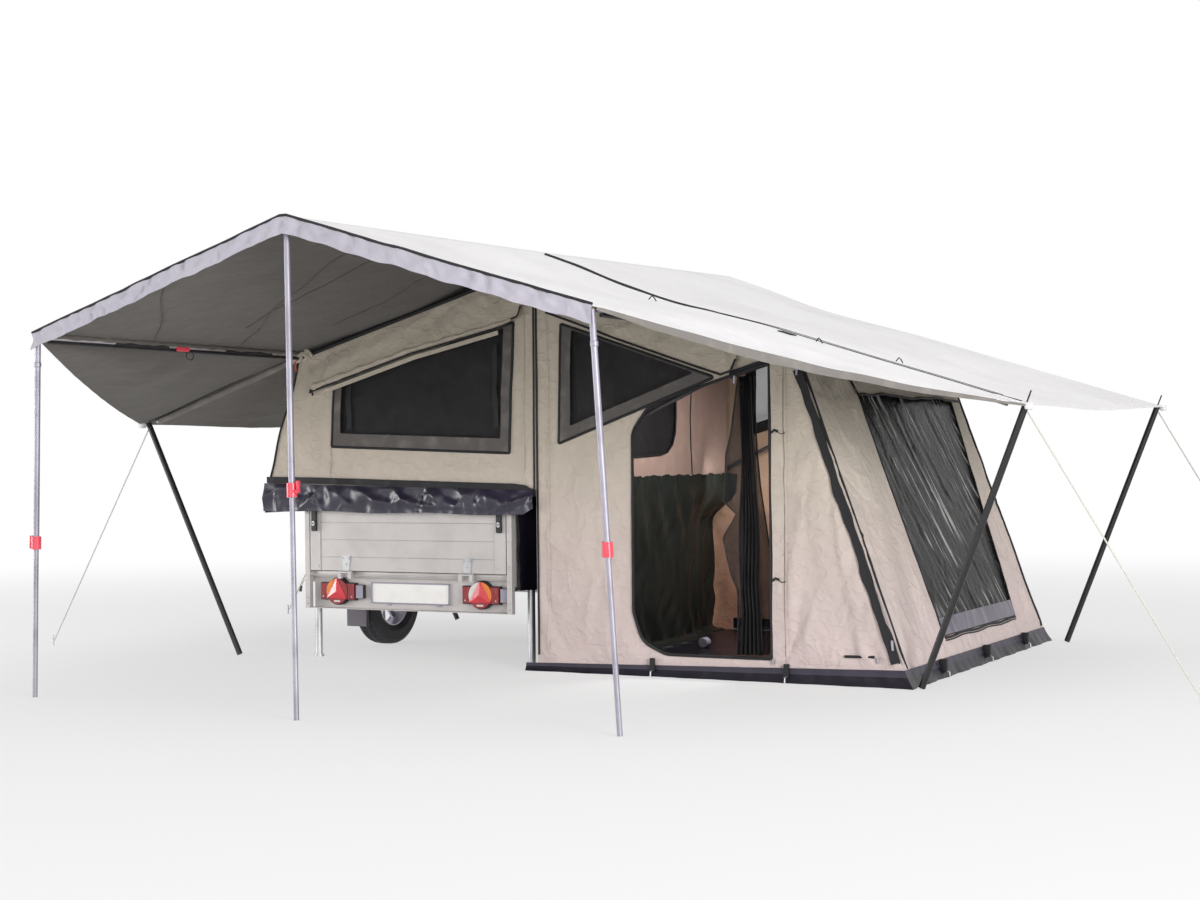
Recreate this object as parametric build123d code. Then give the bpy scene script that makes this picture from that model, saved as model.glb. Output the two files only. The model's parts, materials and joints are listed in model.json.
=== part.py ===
from build123d import *
import math
import os

# A folding caravan: a single-axle box trailer whose bed deck carries half of a
# pitched ridge tent, a floor half beside it, a fly sheet and a rear porch roof.
# Working frame, millimetres: X right as seen from behind, Y forward towards the
# tow ball, Z up from the ground, X zero on the trailer's centre line and Y zero
# on the rear face of its box. The finished pieces are shifted once at the end.

# Trailer box
box_length = 2250.0
box_width = 1400.0
panel_thickness = 25.0
floor_top = 515.0
floor_thickness = 15.0
box_top = 960.0
post_width = 32.0
plank_pitch = 100.0
groove_width = 5.0
groove_depth = 2.0

# Chassis, drawbar and coupling
rail_height = 100.0
rail_width = 50.0
rail_offset = 480.0
crossmember_depth = 40.0
drawbar_height = 80.0
drawbar_width = 40.0
drawbar_rear_y = 1300.0
drawbar_front_y = 3330.0
drawbar_front_x = 42.0
nose_plate_thickness = 10.0
nose_plate_length = 330.0
coupling_length = 250.0
coupling_width = 84.0
coupling_height = 88.0
ball_diameter = 50.0
ball_clearance = 0.4
ball_inset = 52.0
handle_thickness = 12.0
handle_lift = 62.0

# Running gear
axle_y = 965.0
wheel_radius = 281.0
tyre_width = 145.0
rim_radius = 165.0
wheel_clearance = 8.0
axle_tube = 60.0
arm_trail = 120.0
arm_thickness = 18.0
stub_radius = 20.0
spindle_clearance = 0.05
hub_radius = 55.0
spoke_count = 8
spoke_width = 34.0
spoke_waist = 22.0
shoulder = 32.0
bead_width = 52.0
barrel_wall = 8.0
dish_thickness = 16.0
mudguard_gap = 42.0
mudguard_thickness = 6.0
mudguard_lip = 26.0
mudguard_margin = 4.0
flap_bottom = 135.0
flap_thickness = 5.0

# Rear light bar, lamps and plate
light_bar_bottom = 300.0
light_bar_depth = 55.0
light_bar_wall = 4.0
lamp_post_gap = 183.0
lamp_width = 245.0
lamp_height = 102.0
lamp_disc_radius = 80.0
lamp_depth = 26.0
lens_depth = 10.0
lens_rim = 5.0
triangle_side = 138.0
triangle_depth = 7.0
fog_lamp_width = 50.0
fog_lamp_height = 78.0
fog_lamp_gap = 4.0
plate_width = 520.0
plate_height = 110.0
plate_thickness = 4.0

# Tailgate and its hinges
tailgate_side_gap = 6.0
tailgate_rim_width = 72.0
tailgate_rim_depth = 4.0
hinge_offset = 410.0
hinge_pin_radius = 5.0
hinge_knuckle_radius = 9.0
hinge_knuckle_length = 46.0
hinge_strap_height = 96.0
hinge_strap_thickness = 5.0
hinge_strap_head = 64.0
hinge_stand_off = 1.5
hinge_sink = 2.0
hinge_clearance = 0.05
latch_width = 30.0
latch_height = 190.0
latch_depth = 18.0

# Prop stands at the rear and jockey wheel at the front
stand_radius = 21.5
stand_y = 165.0
stand_length = 560.0
stand_foot_radius = 30.0
stand_foot_height = 14.0
clamp_height = 76.0
clamp_wall = 6.0
slide_clearance = 0.05
jockey_y = 2950.0
jockey_wheel_radius = 105.0
jockey_wheel_width = 60.0
jockey_stem_radius = 24.0
jockey_stem_top = 760.0
jockey_fork_top = 245.0
jockey_trail = 45.0
fork_plate = 8.0
fork_gap = 4.0
jockey_pin_radius = 9.0
jockey_axle_radius = 7.0
jockey_tread_round = 12.0
crank_length = 120.0
crank_radius = 8.0
crank_grip = 64.0

# Bed deck and mattress
deck_overhang_left = 265.0
deck_overhang_right = 168.0
deck_thickness = 25.0
mattress_height = 110.0
mattress_gap = 85.0
mattress_left_gap = 135.0
mattress_round = 45.0

# Tent body
tent_rear_y = -20.0
tent_depth = 2640.0
cloth = 6.0
ridge_offset = 2.0
ridge_z = 2210.0
eave_left_x = -708.0
eave_right_x = 2345.0
eave_z = 1762.0
base_right_x = 2985.0
band_height = 80.0
sheet_floor = 4.0
curtain_gap = 4.0
skirt_drop = 105.0
skirt_lift = 45.0
skirt_overhang = 6.0
bow_radius = 12.0
bow_inset = 40.0
bow_play = 4.0
pivot_radius = 70.0
pivot_thickness = 8.0
seat_gap = 0.3
partition_gap = 80.0
partition_top_gap = 45.0

# Openings in the tent walls, as (x, z) outlines on the cross walls
window_round = 30.0
bed_window = ((-480.0, 1245.0), (700.0, 1197.0), (732.0, 1900.0), (-458.0, 1585.0))
room_window = ((1022.0, 1247.0), (1925.0, 1572.0), (1042.0, 1878.0))
far_window = ((1250.0, 900.0), (1950.0, 900.0), (1950.0, 1500.0), (1250.0, 1500.0))
door_left = 1462.0
door_right = 2250.0
door_sill = 120.0
door_round = 60.0
doorway = (
    (door_left, 390.0),
    (1530.0, 195.0),
    (1660.0, door_sill),
    (door_right, door_sill),
    (door_right, 1640.0),
    (1640.0, 1465.0),
    (1475.0, 1240.0),
)
clear_low = 190.0
clear_high = 1510.0
clear_rear_inset = 755.0
clear_front_top_inset = 190.0
clear_front_low_inset = 490.0
partition_window_low = 1190.0
partition_window_high = 1640.0
partition_window_rear_y = 900.0
partition_window_front_y = 1750.0

# Fly sheet and porch roof
fly_gap = 85.0
fly_rise = 70.0
fly_tip_left_x = -1917.0
fly_tip_right_x = 3600.0
front_flap_ratio = 1.083
fly_tip_z = 1396.0
edge_sag = 25.0
porch_front_y = -2010.0
porch_left_x = -854.0
porch_ridge_x = 688.0
porch_right_x = 2285.0
porch_left_z = 1806.0
porch_ridge_z = 2288.0
porch_right_z = 1803.0
valance_drop = 80.0

# Poles, bars, stays and pegs
pole_upper_radius = 14.5
pole_lower_radius = 12.0
pole_clamp_radius = 24.0
pole_clamp_height = 64.0
corner_pole_radius = 17.0
pole_left_foot_x = -883.0
pole_ridge_foot_x = 840.0
pole_right_foot_x = 2383.0
pole_ridge_kick = 165.0
pole_left_joint_z = 767.0
pole_ridge_joint_z = 1028.0
pole_right_joint_z = 776.0
corner_foot_inset = 45.0
corner_foot_flare = 80.0
corner_foot_left = -1195.0
spike_radius = 4.0
spike_height = 62.0
bar_radius = 13.0
bar_overlap = 30.0
stay_radius = 4.0
stay_reach = 760.0
peg_radius = 6.0
peg_height = 70.0

# Values that follow from the driving dimensions
box_half = box_width / 2
floor_bottom = floor_top - floor_thickness
rail_bottom = floor_bottom - rail_height
tyre_inner_x = box_half + wheel_clearance
wheel_x = tyre_inner_x + tyre_width / 2
mudguard_outer_x = tyre_inner_x + tyre_width + mudguard_margin
deck_top = box_top + deck_thickness
tent_front_y = tent_rear_y + tent_depth
stand_x = box_half + clamp_wall + slide_clearance + stand_radius
deck_left = -box_half - deck_overhang_left
deck_right = box_half + deck_overhang_right
ridge_x = deck_right + ridge_offset
curtain_x = deck_right + curtain_gap
lamp_offset = box_half - post_width - lamp_post_gap
lateral_sides = (("left", -1), ("right", 1))

pieces = {}


def block(x, y, z):
    """Solid box between three (low, high) pairs."""
    size = Box(x[1] - x[0], y[1] - y[0], z[1] - z[0])
    return Pos((x[0] + x[1]) / 2, (y[0] + y[1]) / 2, (z[0] + z[1]) / 2) * size


def rod(start, end, radius):
    """Round bar between two points."""
    start, end = Vector(*start), Vector(*end)
    run = end - start
    base = Plane(origin=start, z_dir=run)
    return base * Cylinder(radius, run.length, align=(Align.CENTER, Align.CENTER, Align.MIN))


def standing_rod(foot, head, radius):
    """Round bar whose lower end just touches the ground though it leans."""
    foot, head = Vector(*foot), Vector(*head)
    run = head - foot
    sine = math.hypot(run.X, run.Y) / run.length
    return rod(foot + run * (radius * sine / run.Z), head, radius)


def drum(centre, direction, radius, length):
    """Cylinder centred on a point along a direction."""
    return Plane(origin=centre, z_dir=direction) * Cylinder(radius, length)


def toward(start, end, distance):
    """Point at a distance from start on the line to end."""
    start, end = Vector(*start), Vector(*end)
    return start + (end - start).normalized() * distance


def upright(outline, y, thickness):
    """Wall from an (x, z) outline, thickened forward from y."""
    points = [(x, y, z) for x, z in outline]
    return extrude(make_face(Polyline(*points, close=True)), amount=thickness, dir=(0, 1, 0))


def rounded_upright(outline, y, thickness, radius):
    """As upright, with its corners rounded."""
    points = [(x, y, z) for x, z in outline]
    edge = FilletPolyline(*points, radius=radius, close=True)
    return extrude(make_face(edge), amount=thickness, dir=(0, 1, 0))


def canopy(points, sags=None):
    """Flat cloth panel hung downward from its corner points.

    sags maps the index of an edge's first corner to how far that free edge is
    cut inward as a shallow arc.
    """
    sags = sags or {}
    middle = sum((Vector(*p) for p in points), Vector()) * (1 / len(points))
    edges = []
    for index, point in enumerate(points):
        start, end = Vector(*point), Vector(*points[(index + 1) % len(points)])
        if index in sags:
            centre = (start + end) * 0.5
            along = (end - start).normalized()
            inward = middle - centre
            inward = (inward - along * inward.dot(along)).normalized()
            edges.append(ThreePointArc(start, centre + inward * sags[index], end))
        else:
            edges.append(Line(start, end))
    return extrude(make_face(edges), amount=cloth, dir=(0, 0, -1))


def slope(front_line, back_line):
    """Cloth panel ruled between two straight lines that lie across the ridge."""
    sections = []
    for a, b in (front_line, back_line):
        lower_a, lower_b = (a[0], a[1], a[2] - cloth), (b[0], b[1], b[2] - cloth)
        sections.append(make_face(Polyline(a, b, lower_b, lower_a, close=True)))
    return loft(sections, ruled=True)


def add(name, *solids):
    """Keep one named piece, made of one or more separate solids."""
    pieces[name] = solids[0] if len(solids) == 1 else Compound(list(solids))


# Chassis: two rails tied by crossmembers
crossmember_ys = (crossmember_depth, axle_y, box_length - crossmember_depth)
chassis = None
for side in (-1, 1):
    rail = block(
        (side * rail_offset - rail_width / 2, side * rail_offset + rail_width / 2),
        (light_bar_depth, box_length),
        (rail_bottom, floor_bottom),
    )
    chassis = rail if chassis is None else chassis + rail
for member_y in crossmember_ys:
    chassis += block(
        (-box_half + panel_thickness, box_half - panel_thickness),
        (max(member_y - crossmember_depth / 2, light_bar_depth), member_y + crossmember_depth / 2),
        (floor_bottom - rail_height / 2, floor_bottom),
    )
add("chassis_frame", chassis)

# Drawbar: two tubes converging under the rails to a nose plate
drawbar_top = rail_bottom
drawbar_bottom = drawbar_top - drawbar_height
drawbar = None
for side in (-1, 1):
    rear_x, front_x = side * rail_offset, side * drawbar_front_x
    half = drawbar_width / 2
    plan = Polyline(
        (rear_x - half, drawbar_rear_y, drawbar_bottom),
        (rear_x + half, drawbar_rear_y, drawbar_bottom),
        (front_x + half, drawbar_front_y, drawbar_bottom),
        (front_x - half, drawbar_front_y, drawbar_bottom),
        close=True,
    )
    arm = extrude(make_face(plan), amount=drawbar_height, dir=(0, 0, 1))
    drawbar = arm if drawbar is None else drawbar + arm
nose_half = drawbar_front_x + drawbar_width / 2
drawbar += block(
    (-nose_half, nose_half),
    (drawbar_front_y - nose_plate_length, drawbar_front_y),
    (drawbar_top, drawbar_top + nose_plate_thickness),
)
add("drawbar", drawbar)

# Coupling head: a rounded housing over a ball socket, with its lift handle
coupling_bottom = drawbar_top + nose_plate_thickness
coupling_rear_y = drawbar_front_y - coupling_length / 2
coupling_front_y = coupling_rear_y + coupling_length
ball_y = coupling_front_y - ball_inset
ball_z = coupling_bottom + ball_diameter / 2
housing = block(
    (-coupling_width / 2, coupling_width / 2),
    (coupling_rear_y, ball_y),
    (coupling_bottom, coupling_bottom + coupling_height),
)
nose = Cylinder(coupling_width / 2, coupling_height)
housing += Pos(0, ball_y, coupling_bottom + coupling_height / 2) * nose
socket_radius = ball_diameter / 2 + ball_clearance
housing -= Pos(0, ball_y, ball_z) * Sphere(socket_radius)
mouth = Cylinder(socket_radius, ball_z - coupling_bottom)
housing -= Pos(0, ball_y, (coupling_bottom + ball_z) / 2) * mouth
handle_top = coupling_bottom + coupling_height
lever_top = handle_top + handle_thickness
lever_bend_y = coupling_rear_y + coupling_length / 4
lever_end_y = coupling_rear_y - coupling_length / 4
lever = Polyline(
    (-coupling_width / 4, ball_y, handle_top),
    (-coupling_width / 4, ball_y, lever_top),
    (-coupling_width / 4, lever_bend_y, lever_top + handle_lift / 3),
    (-coupling_width / 4, lever_end_y, lever_top + handle_lift),
    (-coupling_width / 4, lever_end_y, handle_top + handle_lift),
    (-coupling_width / 4, lever_bend_y, handle_top),
    close=True,
)
housing += extrude(make_face(lever), amount=coupling_width / 2, dir=(1, 0, 0))
add("coupling_head", housing)

# Axle: a square tube under the rails with trailing arms and stub spindles
axle_front_y = axle_y + arm_trail
axle_centre_z = rail_bottom - axle_tube / 2
arm_outer_x = box_half - panel_thickness
axle = block(
    (-arm_outer_x + arm_thickness, arm_outer_x - arm_thickness),
    (axle_front_y - axle_tube / 2, axle_front_y + axle_tube / 2),
    (rail_bottom - axle_tube, rail_bottom),
)
spindle_end_x = wheel_x + tyre_width / 4
for side in (-1, 1):
    arm_half = axle_tube / 2
    arm_inner_x = side * (arm_outer_x - arm_thickness)
    pivot = (arm_inner_x, axle_front_y, axle_centre_z)
    spindle = (arm_inner_x, axle_y, wheel_radius)
    ends = []
    for point in (pivot, spindle):
        middle = (point[0] + side * arm_thickness / 2, point[1], point[2])
        ends.append(drum(middle, (1, 0, 0), arm_half, arm_thickness))
    run = Vector(*spindle) - Vector(*pivot)
    normal = Vector(0, -run.Z, run.Y).normalized() * arm_half
    corners = [
        Vector(*pivot) + normal,
        Vector(*spindle) + normal,
        Vector(*spindle) - normal,
        Vector(*pivot) - normal,
    ]
    web = extrude(make_face(Polyline(*corners, close=True)), amount=arm_thickness, dir=(side, 0, 0))
    axle += ends[0] + ends[1] + web
    stub_end = (side * spindle_end_x, axle_y, wheel_radius)
    axle += rod((arm_inner_x, axle_y, wheel_radius), stub_end, stub_radius)
add("axle_beam", axle)

# Wheels: a rounded tyre on a spoked rim that turns on the stub spindle
tyre_half = tyre_width / 2
shoulder_radius = wheel_radius - shoulder / 2
shoulder_half = tyre_half - shoulder / 4
for name, side in lateral_sides:
    centre = Plane(origin=(side * wheel_x, axle_y, wheel_radius), x_dir=(0, 0, 1), z_dir=(1, 0, 0))
    tread_half = tyre_half - shoulder
    bulge = ((wheel_radius + rim_radius) / 2, tyre_half)
    far_bulge = (bulge[0], -tyre_half)
    with BuildPart() as tyre_part:
        with BuildSketch(Plane.XZ):
            with BuildLine():
                Polyline((rim_radius, -bead_width), (rim_radius, bead_width))
                ThreePointArc((rim_radius, bead_width), bulge, (shoulder_radius, shoulder_half))
                Polyline((shoulder_radius, shoulder_half), (wheel_radius, tread_half))
                Polyline((wheel_radius, tread_half), (wheel_radius, -tread_half))
                Polyline((wheel_radius, -tread_half), (shoulder_radius, -shoulder_half))
                ThreePointArc((shoulder_radius, -shoulder_half), far_bulge, (rim_radius, -bead_width))
            make_face()
        revolve(axis=Axis.Z)
    add("tyre_" + name, centre * tyre_part.part)

    rim = Cylinder(rim_radius, 2 * bead_width) - Cylinder(rim_radius - barrel_wall, 2 * bead_width)
    dish_z = side * (bead_width - dish_thickness)
    spokes = Cylinder(hub_radius, dish_thickness)
    for index in range(spoke_count):
        reach = rim_radius - barrel_wall / 2
        plan = Polyline(
            (0, -spoke_waist / 2),
            (reach, -spoke_width / 2),
            (reach, spoke_width / 2),
            (0, spoke_waist / 2),
            close=True,
        )
        spoke = Pos(0, 0, -dish_thickness / 2) * extrude(make_face(plan), amount=dish_thickness)
        spokes += Rot(0, 0, index * 360 / spoke_count) * spoke
    rim += Pos(0, 0, dish_z) * spokes
    hub_start = -side * bead_width / 2
    hub_length = abs(dish_z - hub_start)
    rim += Pos(0, 0, (dish_z + hub_start) / 2) * Cylinder(hub_radius, hub_length)
    bore_depth = abs(spindle_end_x - wheel_x) + spindle_clearance
    bore_far = side * (bore_depth + dish_thickness / 4)
    bore_near = -side * 2 * bead_width
    bore = Cylinder(stub_radius + spindle_clearance, abs(bore_far - bore_near))
    rim -= Pos(0, 0, (bore_far + bore_near) / 2) * bore
    add("rim_" + name, centre * rim)

# Mudguards: a half round shell beside the box, with a lip and a hanging flap
guard_radius = wheel_radius + mudguard_gap
for name, side in lateral_sides:
    width = mudguard_outer_x - box_half
    mid_x = side * (box_half + width / 2)
    shell = drum((mid_x, axle_y, wheel_radius), (1, 0, 0), guard_radius + mudguard_thickness, width)
    shell -= drum((mid_x, axle_y, wheel_radius), (1, 0, 0), guard_radius, width)
    lip_x = side * (mudguard_outer_x - mudguard_thickness / 2)
    lip_centre = (lip_x, axle_y, wheel_radius)
    lip = drum(lip_centre, (1, 0, 0), guard_radius + mudguard_thickness, mudguard_thickness)
    lip -= drum(lip_centre, (1, 0, 0), guard_radius - mudguard_lip, mudguard_thickness)
    shell += lip
    span = 2 * (guard_radius + mudguard_thickness)
    shell -= Pos(mid_x, axle_y, wheel_radius - span / 2) * Box(2 * width, span, span)
    flap_y = axle_y - guard_radius - mudguard_thickness
    flap = block(
        sorted((side * box_half, side * mudguard_outer_x)),
        (flap_y, flap_y + flap_thickness),
        (flap_bottom, wheel_radius),
    )
    add("mudguard_" + name, shell + flap)

# Box: plywood floor, grooved side and front panels
add("floor_panel", block(
    (-box_half + panel_thickness, box_half - panel_thickness),
    (post_width, box_length - panel_thickness),
    (floor_bottom, floor_top),
))


def planked(panel, low, high, groove):
    """Cut the horizontal joints between planks with a groove(z) solid."""
    joint_z = low + plank_pitch
    while joint_z < high - groove_width:
        panel -= groove(joint_z)
        joint_z += plank_pitch
    return panel


for name, side in lateral_sides:
    outer = side * box_half
    inner = side * (box_half - panel_thickness)
    panel_low = floor_bottom - rail_height / 2
    panel = block(sorted((outer, inner)), (post_width, box_length), (panel_low, box_top))
    cut = sorted((outer, outer - side * groove_depth))
    panel = planked(panel, panel_low, box_top, lambda z: block(
        cut, (post_width, box_length), (z - groove_width / 2, z + groove_width / 2)))
    add("side_panel_" + name, panel)

front_inner_x = box_half - panel_thickness
front_y = (box_length - panel_thickness, box_length)
front = block((-front_inner_x, front_inner_x), front_y, (floor_bottom, box_top))
front = planked(front, floor_bottom, box_top, lambda z: block(
    (-front_inner_x, front_inner_x),
    (box_length - groove_depth, box_length),
    (z - groove_width / 2, z + groove_width / 2),
))
add("front_panel", front)

# Rear frame: corner posts and a channel below the tailgate that holds the lamps
hinge_y = -hinge_knuckle_radius - hinge_stand_off
hinge_z = floor_top - hinge_sink
rear_frame = None
for side in (-1, 1):
    post = block(
        sorted((side * box_half, side * (box_half - post_width))),
        (0, post_width),
        (light_bar_bottom, box_top),
    )
    rear_frame = post if rear_frame is None else rear_frame + post
channel_x = (-box_half + post_width, box_half - post_width)
bar_bottom_z = light_bar_bottom
bar_top_z = floor_bottom
channel_back = (light_bar_depth - light_bar_wall, light_bar_depth)
rear_frame += block(channel_x, channel_back, (bar_bottom_z, bar_top_z))
for edge_z in (bar_bottom_z, bar_top_z - light_bar_wall):
    rear_frame += block(channel_x, (0, light_bar_depth), (edge_z, edge_z + light_bar_wall))
# Fixed hinge leaves reach out from the channel's top edge and hold the pins
leaf_length = hinge_knuckle_length / 2
pin_length = 2 * hinge_knuckle_length
for side in (-1, 1):
    for end in (-1, 1):
        leaf_x = side * hinge_offset + end * (hinge_knuckle_length / 2 + leaf_length / 2 + seat_gap)
        rear_frame += drum((leaf_x, hinge_y, hinge_z), (1, 0, 0), hinge_knuckle_radius, leaf_length)
        rear_frame += block(
            (leaf_x - leaf_length / 2, leaf_x + leaf_length / 2),
            (hinge_y - hinge_knuckle_radius, 0),
            (hinge_z - 4 * hinge_knuckle_radius, hinge_z),
        )
    rear_frame += drum((side * hinge_offset, hinge_y, hinge_z), (1, 0, 0), hinge_pin_radius, pin_length)
add("rear_frame", rear_frame)

# Lamps: a wide housing and a round disc in the channel, each with a raised lens
channel_face = light_bar_depth - light_bar_wall
lamp_z = (light_bar_bottom + bar_top_z) / 2
housings, lenses = [], []
for side in (-1, 1):
    x = side * lamp_offset
    base = block(
        (x - lamp_width / 2, x + lamp_width / 2),
        (channel_face - lamp_depth, channel_face),
        (lamp_z - lamp_height / 2, lamp_z + lamp_height / 2),
    )
    base += drum((x, channel_face - lamp_depth / 2, lamp_z), (0, 1, 0), lamp_disc_radius, lamp_depth)
    fog_x = x + lamp_width / 2 + fog_lamp_gap
    base += block(
        (fog_x - fog_lamp_gap, fog_x + fog_lamp_width),
        (channel_face - lamp_depth, channel_face),
        (lamp_z - fog_lamp_height / 2, lamp_z + fog_lamp_height / 2),
    )
    housings.append(base)
    lens_y = channel_face - lamp_depth
    lens = block(
        (x - lamp_width / 2 + lens_rim, x + lamp_width / 2 - lens_rim),
        (lens_y - lens_depth, lens_y),
        (lamp_z - lamp_height / 2 + lens_rim, lamp_z + lamp_height / 2 - lens_rim),
    )
    lens += drum((x, lens_y - lens_depth / 2, lamp_z), (0, 1, 0), lamp_disc_radius - lens_rim, lens_depth)
    point_z = lamp_z + triangle_side / math.sqrt(3)
    base_z = lamp_z - triangle_side / (2 * math.sqrt(3))
    lens += upright((
        (x - triangle_side / 2, base_z),
        (x + triangle_side / 2, base_z),
        (x, point_z),
    ), lens_y - lens_depth - triangle_depth, triangle_depth)
    lenses.append(lens)
add("lamp_housings", *housings)
add("lamp_lenses", *lenses)
plate_mid_z = lamp_z - plate_thickness
add("number_plate", block(
    (-plate_width / 2, plate_width / 2),
    (channel_face - plate_thickness, channel_face),
    (plate_mid_z - plate_height / 2, plate_mid_z + plate_height / 2),
))

# Tailgate: a planked panel with raised side rims, straps and two latches
gate_half = box_half - post_width - tailgate_side_gap
gate_bottom = floor_top + tailgate_side_gap
gate_top = box_top - tailgate_side_gap
gate_front_y = panel_thickness
gate = block((-gate_half, gate_half), (tailgate_rim_depth, gate_front_y), (gate_bottom, gate_top))
gate = planked(gate, floor_bottom, gate_top, lambda z: block(
    (-gate_half, gate_half),
    (tailgate_rim_depth, tailgate_rim_depth + groove_depth),
    (z - groove_width / 2, z + groove_width / 2),
))
for side in (-1, 1):
    gate += block(
        sorted((side * gate_half, side * (gate_half - tailgate_rim_width))),
        (0, gate_front_y),
        (gate_bottom, gate_top),
    )
add("tailgate_panel", gate)
straps = []
for side in (-1, 1):
    x = side * hinge_offset
    knuckle_half = hinge_knuckle_length / 2
    leaf = upright((
        (x - knuckle_half, hinge_z),
        (x + knuckle_half, hinge_z),
        (x + knuckle_half, hinge_z + hinge_strap_height / 3),
        (x + hinge_strap_head / 2, hinge_z + hinge_strap_height),
        (x - hinge_strap_head / 2, hinge_z + hinge_strap_height),
        (x - knuckle_half, hinge_z + hinge_strap_height / 3),
    ), tailgate_rim_depth - hinge_strap_thickness, hinge_strap_thickness)
    strap = leaf + drum((x, hinge_y, hinge_z), (1, 0, 0), hinge_knuckle_radius, hinge_knuckle_length)
    strap += block(
        (x - knuckle_half, x + knuckle_half),
        (hinge_y, tailgate_rim_depth),
        (hinge_z, hinge_z + hinge_strap_thickness),
    )
    bore_radius = hinge_pin_radius + hinge_clearance
    bore = drum((x, hinge_y, hinge_z), (1, 0, 0), bore_radius, pin_length)
    straps.append(strap - bore)
add("tailgate_hinges", *straps)
latches = []
for side in (-1, 1):
    x = side * (gate_half - tailgate_rim_width / 2)
    latch_top = gate_top - latch_width / 2
    latch_x = (x - latch_width / 2, x + latch_width / 2)
    handle = block(latch_x, (-latch_depth, 0), (latch_top - latch_height, latch_top))
    latches.append(fillet(handle.edges().filter_by(Axis.Y), latch_width / 4))
add("tailgate_latches", *latches)

# Rear prop stands slide in clamps on the box sides
clamp_low = floor_bottom - clamp_height / 2
clamps = []
for name, side in lateral_sides:
    x = side * stand_x
    clamp_middle = Pos(x, stand_y, clamp_low + clamp_height / 2)
    clamp = clamp_middle * Cylinder(stand_radius + slide_clearance + clamp_wall, clamp_height)
    clamp += block(
        sorted((side * box_half, x)),
        (stand_y - stand_radius - 3 * clamp_wall, stand_y + stand_radius + 3 * clamp_wall),
        (clamp_low, clamp_low + clamp_height),
    )
    clamp -= clamp_middle * Cylinder(stand_radius + slide_clearance, clamp_height)
    clamps.append(clamp)
    leg = Pos(x, stand_y, stand_length / 2) * Cylinder(stand_radius, stand_length)
    leg += Pos(x, stand_y, stand_foot_height / 2) * Cylinder(stand_foot_radius, stand_foot_height)
    add("stand_" + name, leg)
add("stand_clamps", *clamps)

# Jockey wheel: a sleeve between the drawbar arms, stem, swivelling fork, wheel
sleeve_radius = jockey_stem_radius + slide_clearance + clamp_wall
sleeve_top = drawbar_top + clamp_height
arm_fraction = (jockey_y - drawbar_rear_y) / (drawbar_front_y - drawbar_rear_y)
arm_x = rail_offset + (drawbar_front_x - rail_offset) * arm_fraction
bracket = Pos(0, jockey_y, (drawbar_top + sleeve_top) / 2) * Cylinder(sleeve_radius, clamp_height)
bracket += block(
    (-arm_x - drawbar_width / 2, arm_x + drawbar_width / 2),
    (jockey_y - sleeve_radius, jockey_y + sleeve_radius),
    (drawbar_top, drawbar_top + nose_plate_thickness),
)
sleeve_bore = Cylinder(jockey_stem_radius + slide_clearance, clamp_height)
bracket -= Pos(0, jockey_y, (drawbar_top + sleeve_top) / 2) * sleeve_bore
add("jockey_bracket", bracket)
crown_low = jockey_fork_top - 4 * fork_plate
crown_high = jockey_fork_top
stem = rod((0, jockey_y, crown_high + seat_gap), (0, jockey_y, jockey_stem_top), jockey_stem_radius)
stem += rod((0, jockey_y, crown_low), (0, jockey_y, crown_high + fork_plate), jockey_pin_radius)
crank_z = jockey_stem_top - 2 * crank_radius
stem += rod((0, jockey_y, crank_z), (crank_length, jockey_y, crank_z), crank_radius)
grip_low = (crank_length, jockey_y, crank_z - crank_radius)
stem += rod(grip_low, (crank_length, jockey_y, crank_z + crank_grip), crank_radius)
add("jockey_stem", stem)
jockey_axle_y = jockey_y - jockey_trail
fork_inner = jockey_wheel_width / 2 + fork_gap
fork = block(
    (-fork_inner - fork_plate, fork_inner + fork_plate),
    (jockey_y - jockey_stem_radius, jockey_y + jockey_stem_radius),
    (crown_low, crown_high),
)
for side in (-1, 1):
    x = side * fork_inner if side > 0 else side * fork_inner - fork_plate
    cheek = Polyline(
        (x, jockey_y - jockey_stem_radius, crown_low),
        (x, jockey_y + jockey_stem_radius, crown_low),
        (x, jockey_axle_y + 2 * fork_plate, jockey_wheel_radius - 2 * fork_plate),
        (x, jockey_axle_y - 2 * fork_plate, jockey_wheel_radius - 2 * fork_plate),
        close=True,
    )
    fork += extrude(make_face(cheek), amount=fork_plate, dir=(1, 0, 0))
roller_centre = (0, jockey_axle_y, jockey_wheel_radius)
fork += drum(roller_centre, (1, 0, 0), jockey_axle_radius, 2 * fork_inner + fork_plate)
pin_bore = Cylinder(jockey_pin_radius + spindle_clearance, 8 * fork_plate)
fork -= Pos(0, jockey_y, (crown_low + crown_high) / 2) * pin_bore
add("jockey_fork", fork)
roller = Cylinder(jockey_wheel_radius, jockey_wheel_width)
roller = fillet(roller.edges(), jockey_tread_round)
roller -= Cylinder(jockey_axle_radius + spindle_clearance, 2 * jockey_wheel_width)
add("jockey_wheel", Plane(origin=roller_centre, z_dir=(1, 0, 0)) * roller)

# Bed deck on the box, reaching over both mudguards and the drawbar, and mattress
add("bed_deck", block((deck_left, deck_right), (tent_rear_y, tent_front_y), (box_top, deck_top)))
mattress = block(
    (deck_left + mattress_left_gap, deck_right - mattress_gap),
    (tent_rear_y + mattress_gap, tent_front_y - mattress_gap),
    (deck_top, deck_top + mattress_height),
)
add("mattress", fillet(mattress.edges().filter_by(Axis.Z), mattress_round))

# Tent section, outer lines of the cloth
wall_base_left = (deck_left, deck_top)
wall_lean = (base_right_x - eave_right_x) / eave_z
roof_under = cloth


def right_wall_x(z):
    """Outer face of the leaning right end wall at a height."""
    return base_right_x - wall_lean * z


def left_wall_x(z):
    """Outer face of the leaning left end wall at a height."""
    return deck_left + (eave_left_x - deck_left) * (z - deck_top) / (eave_z - deck_top)


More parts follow.
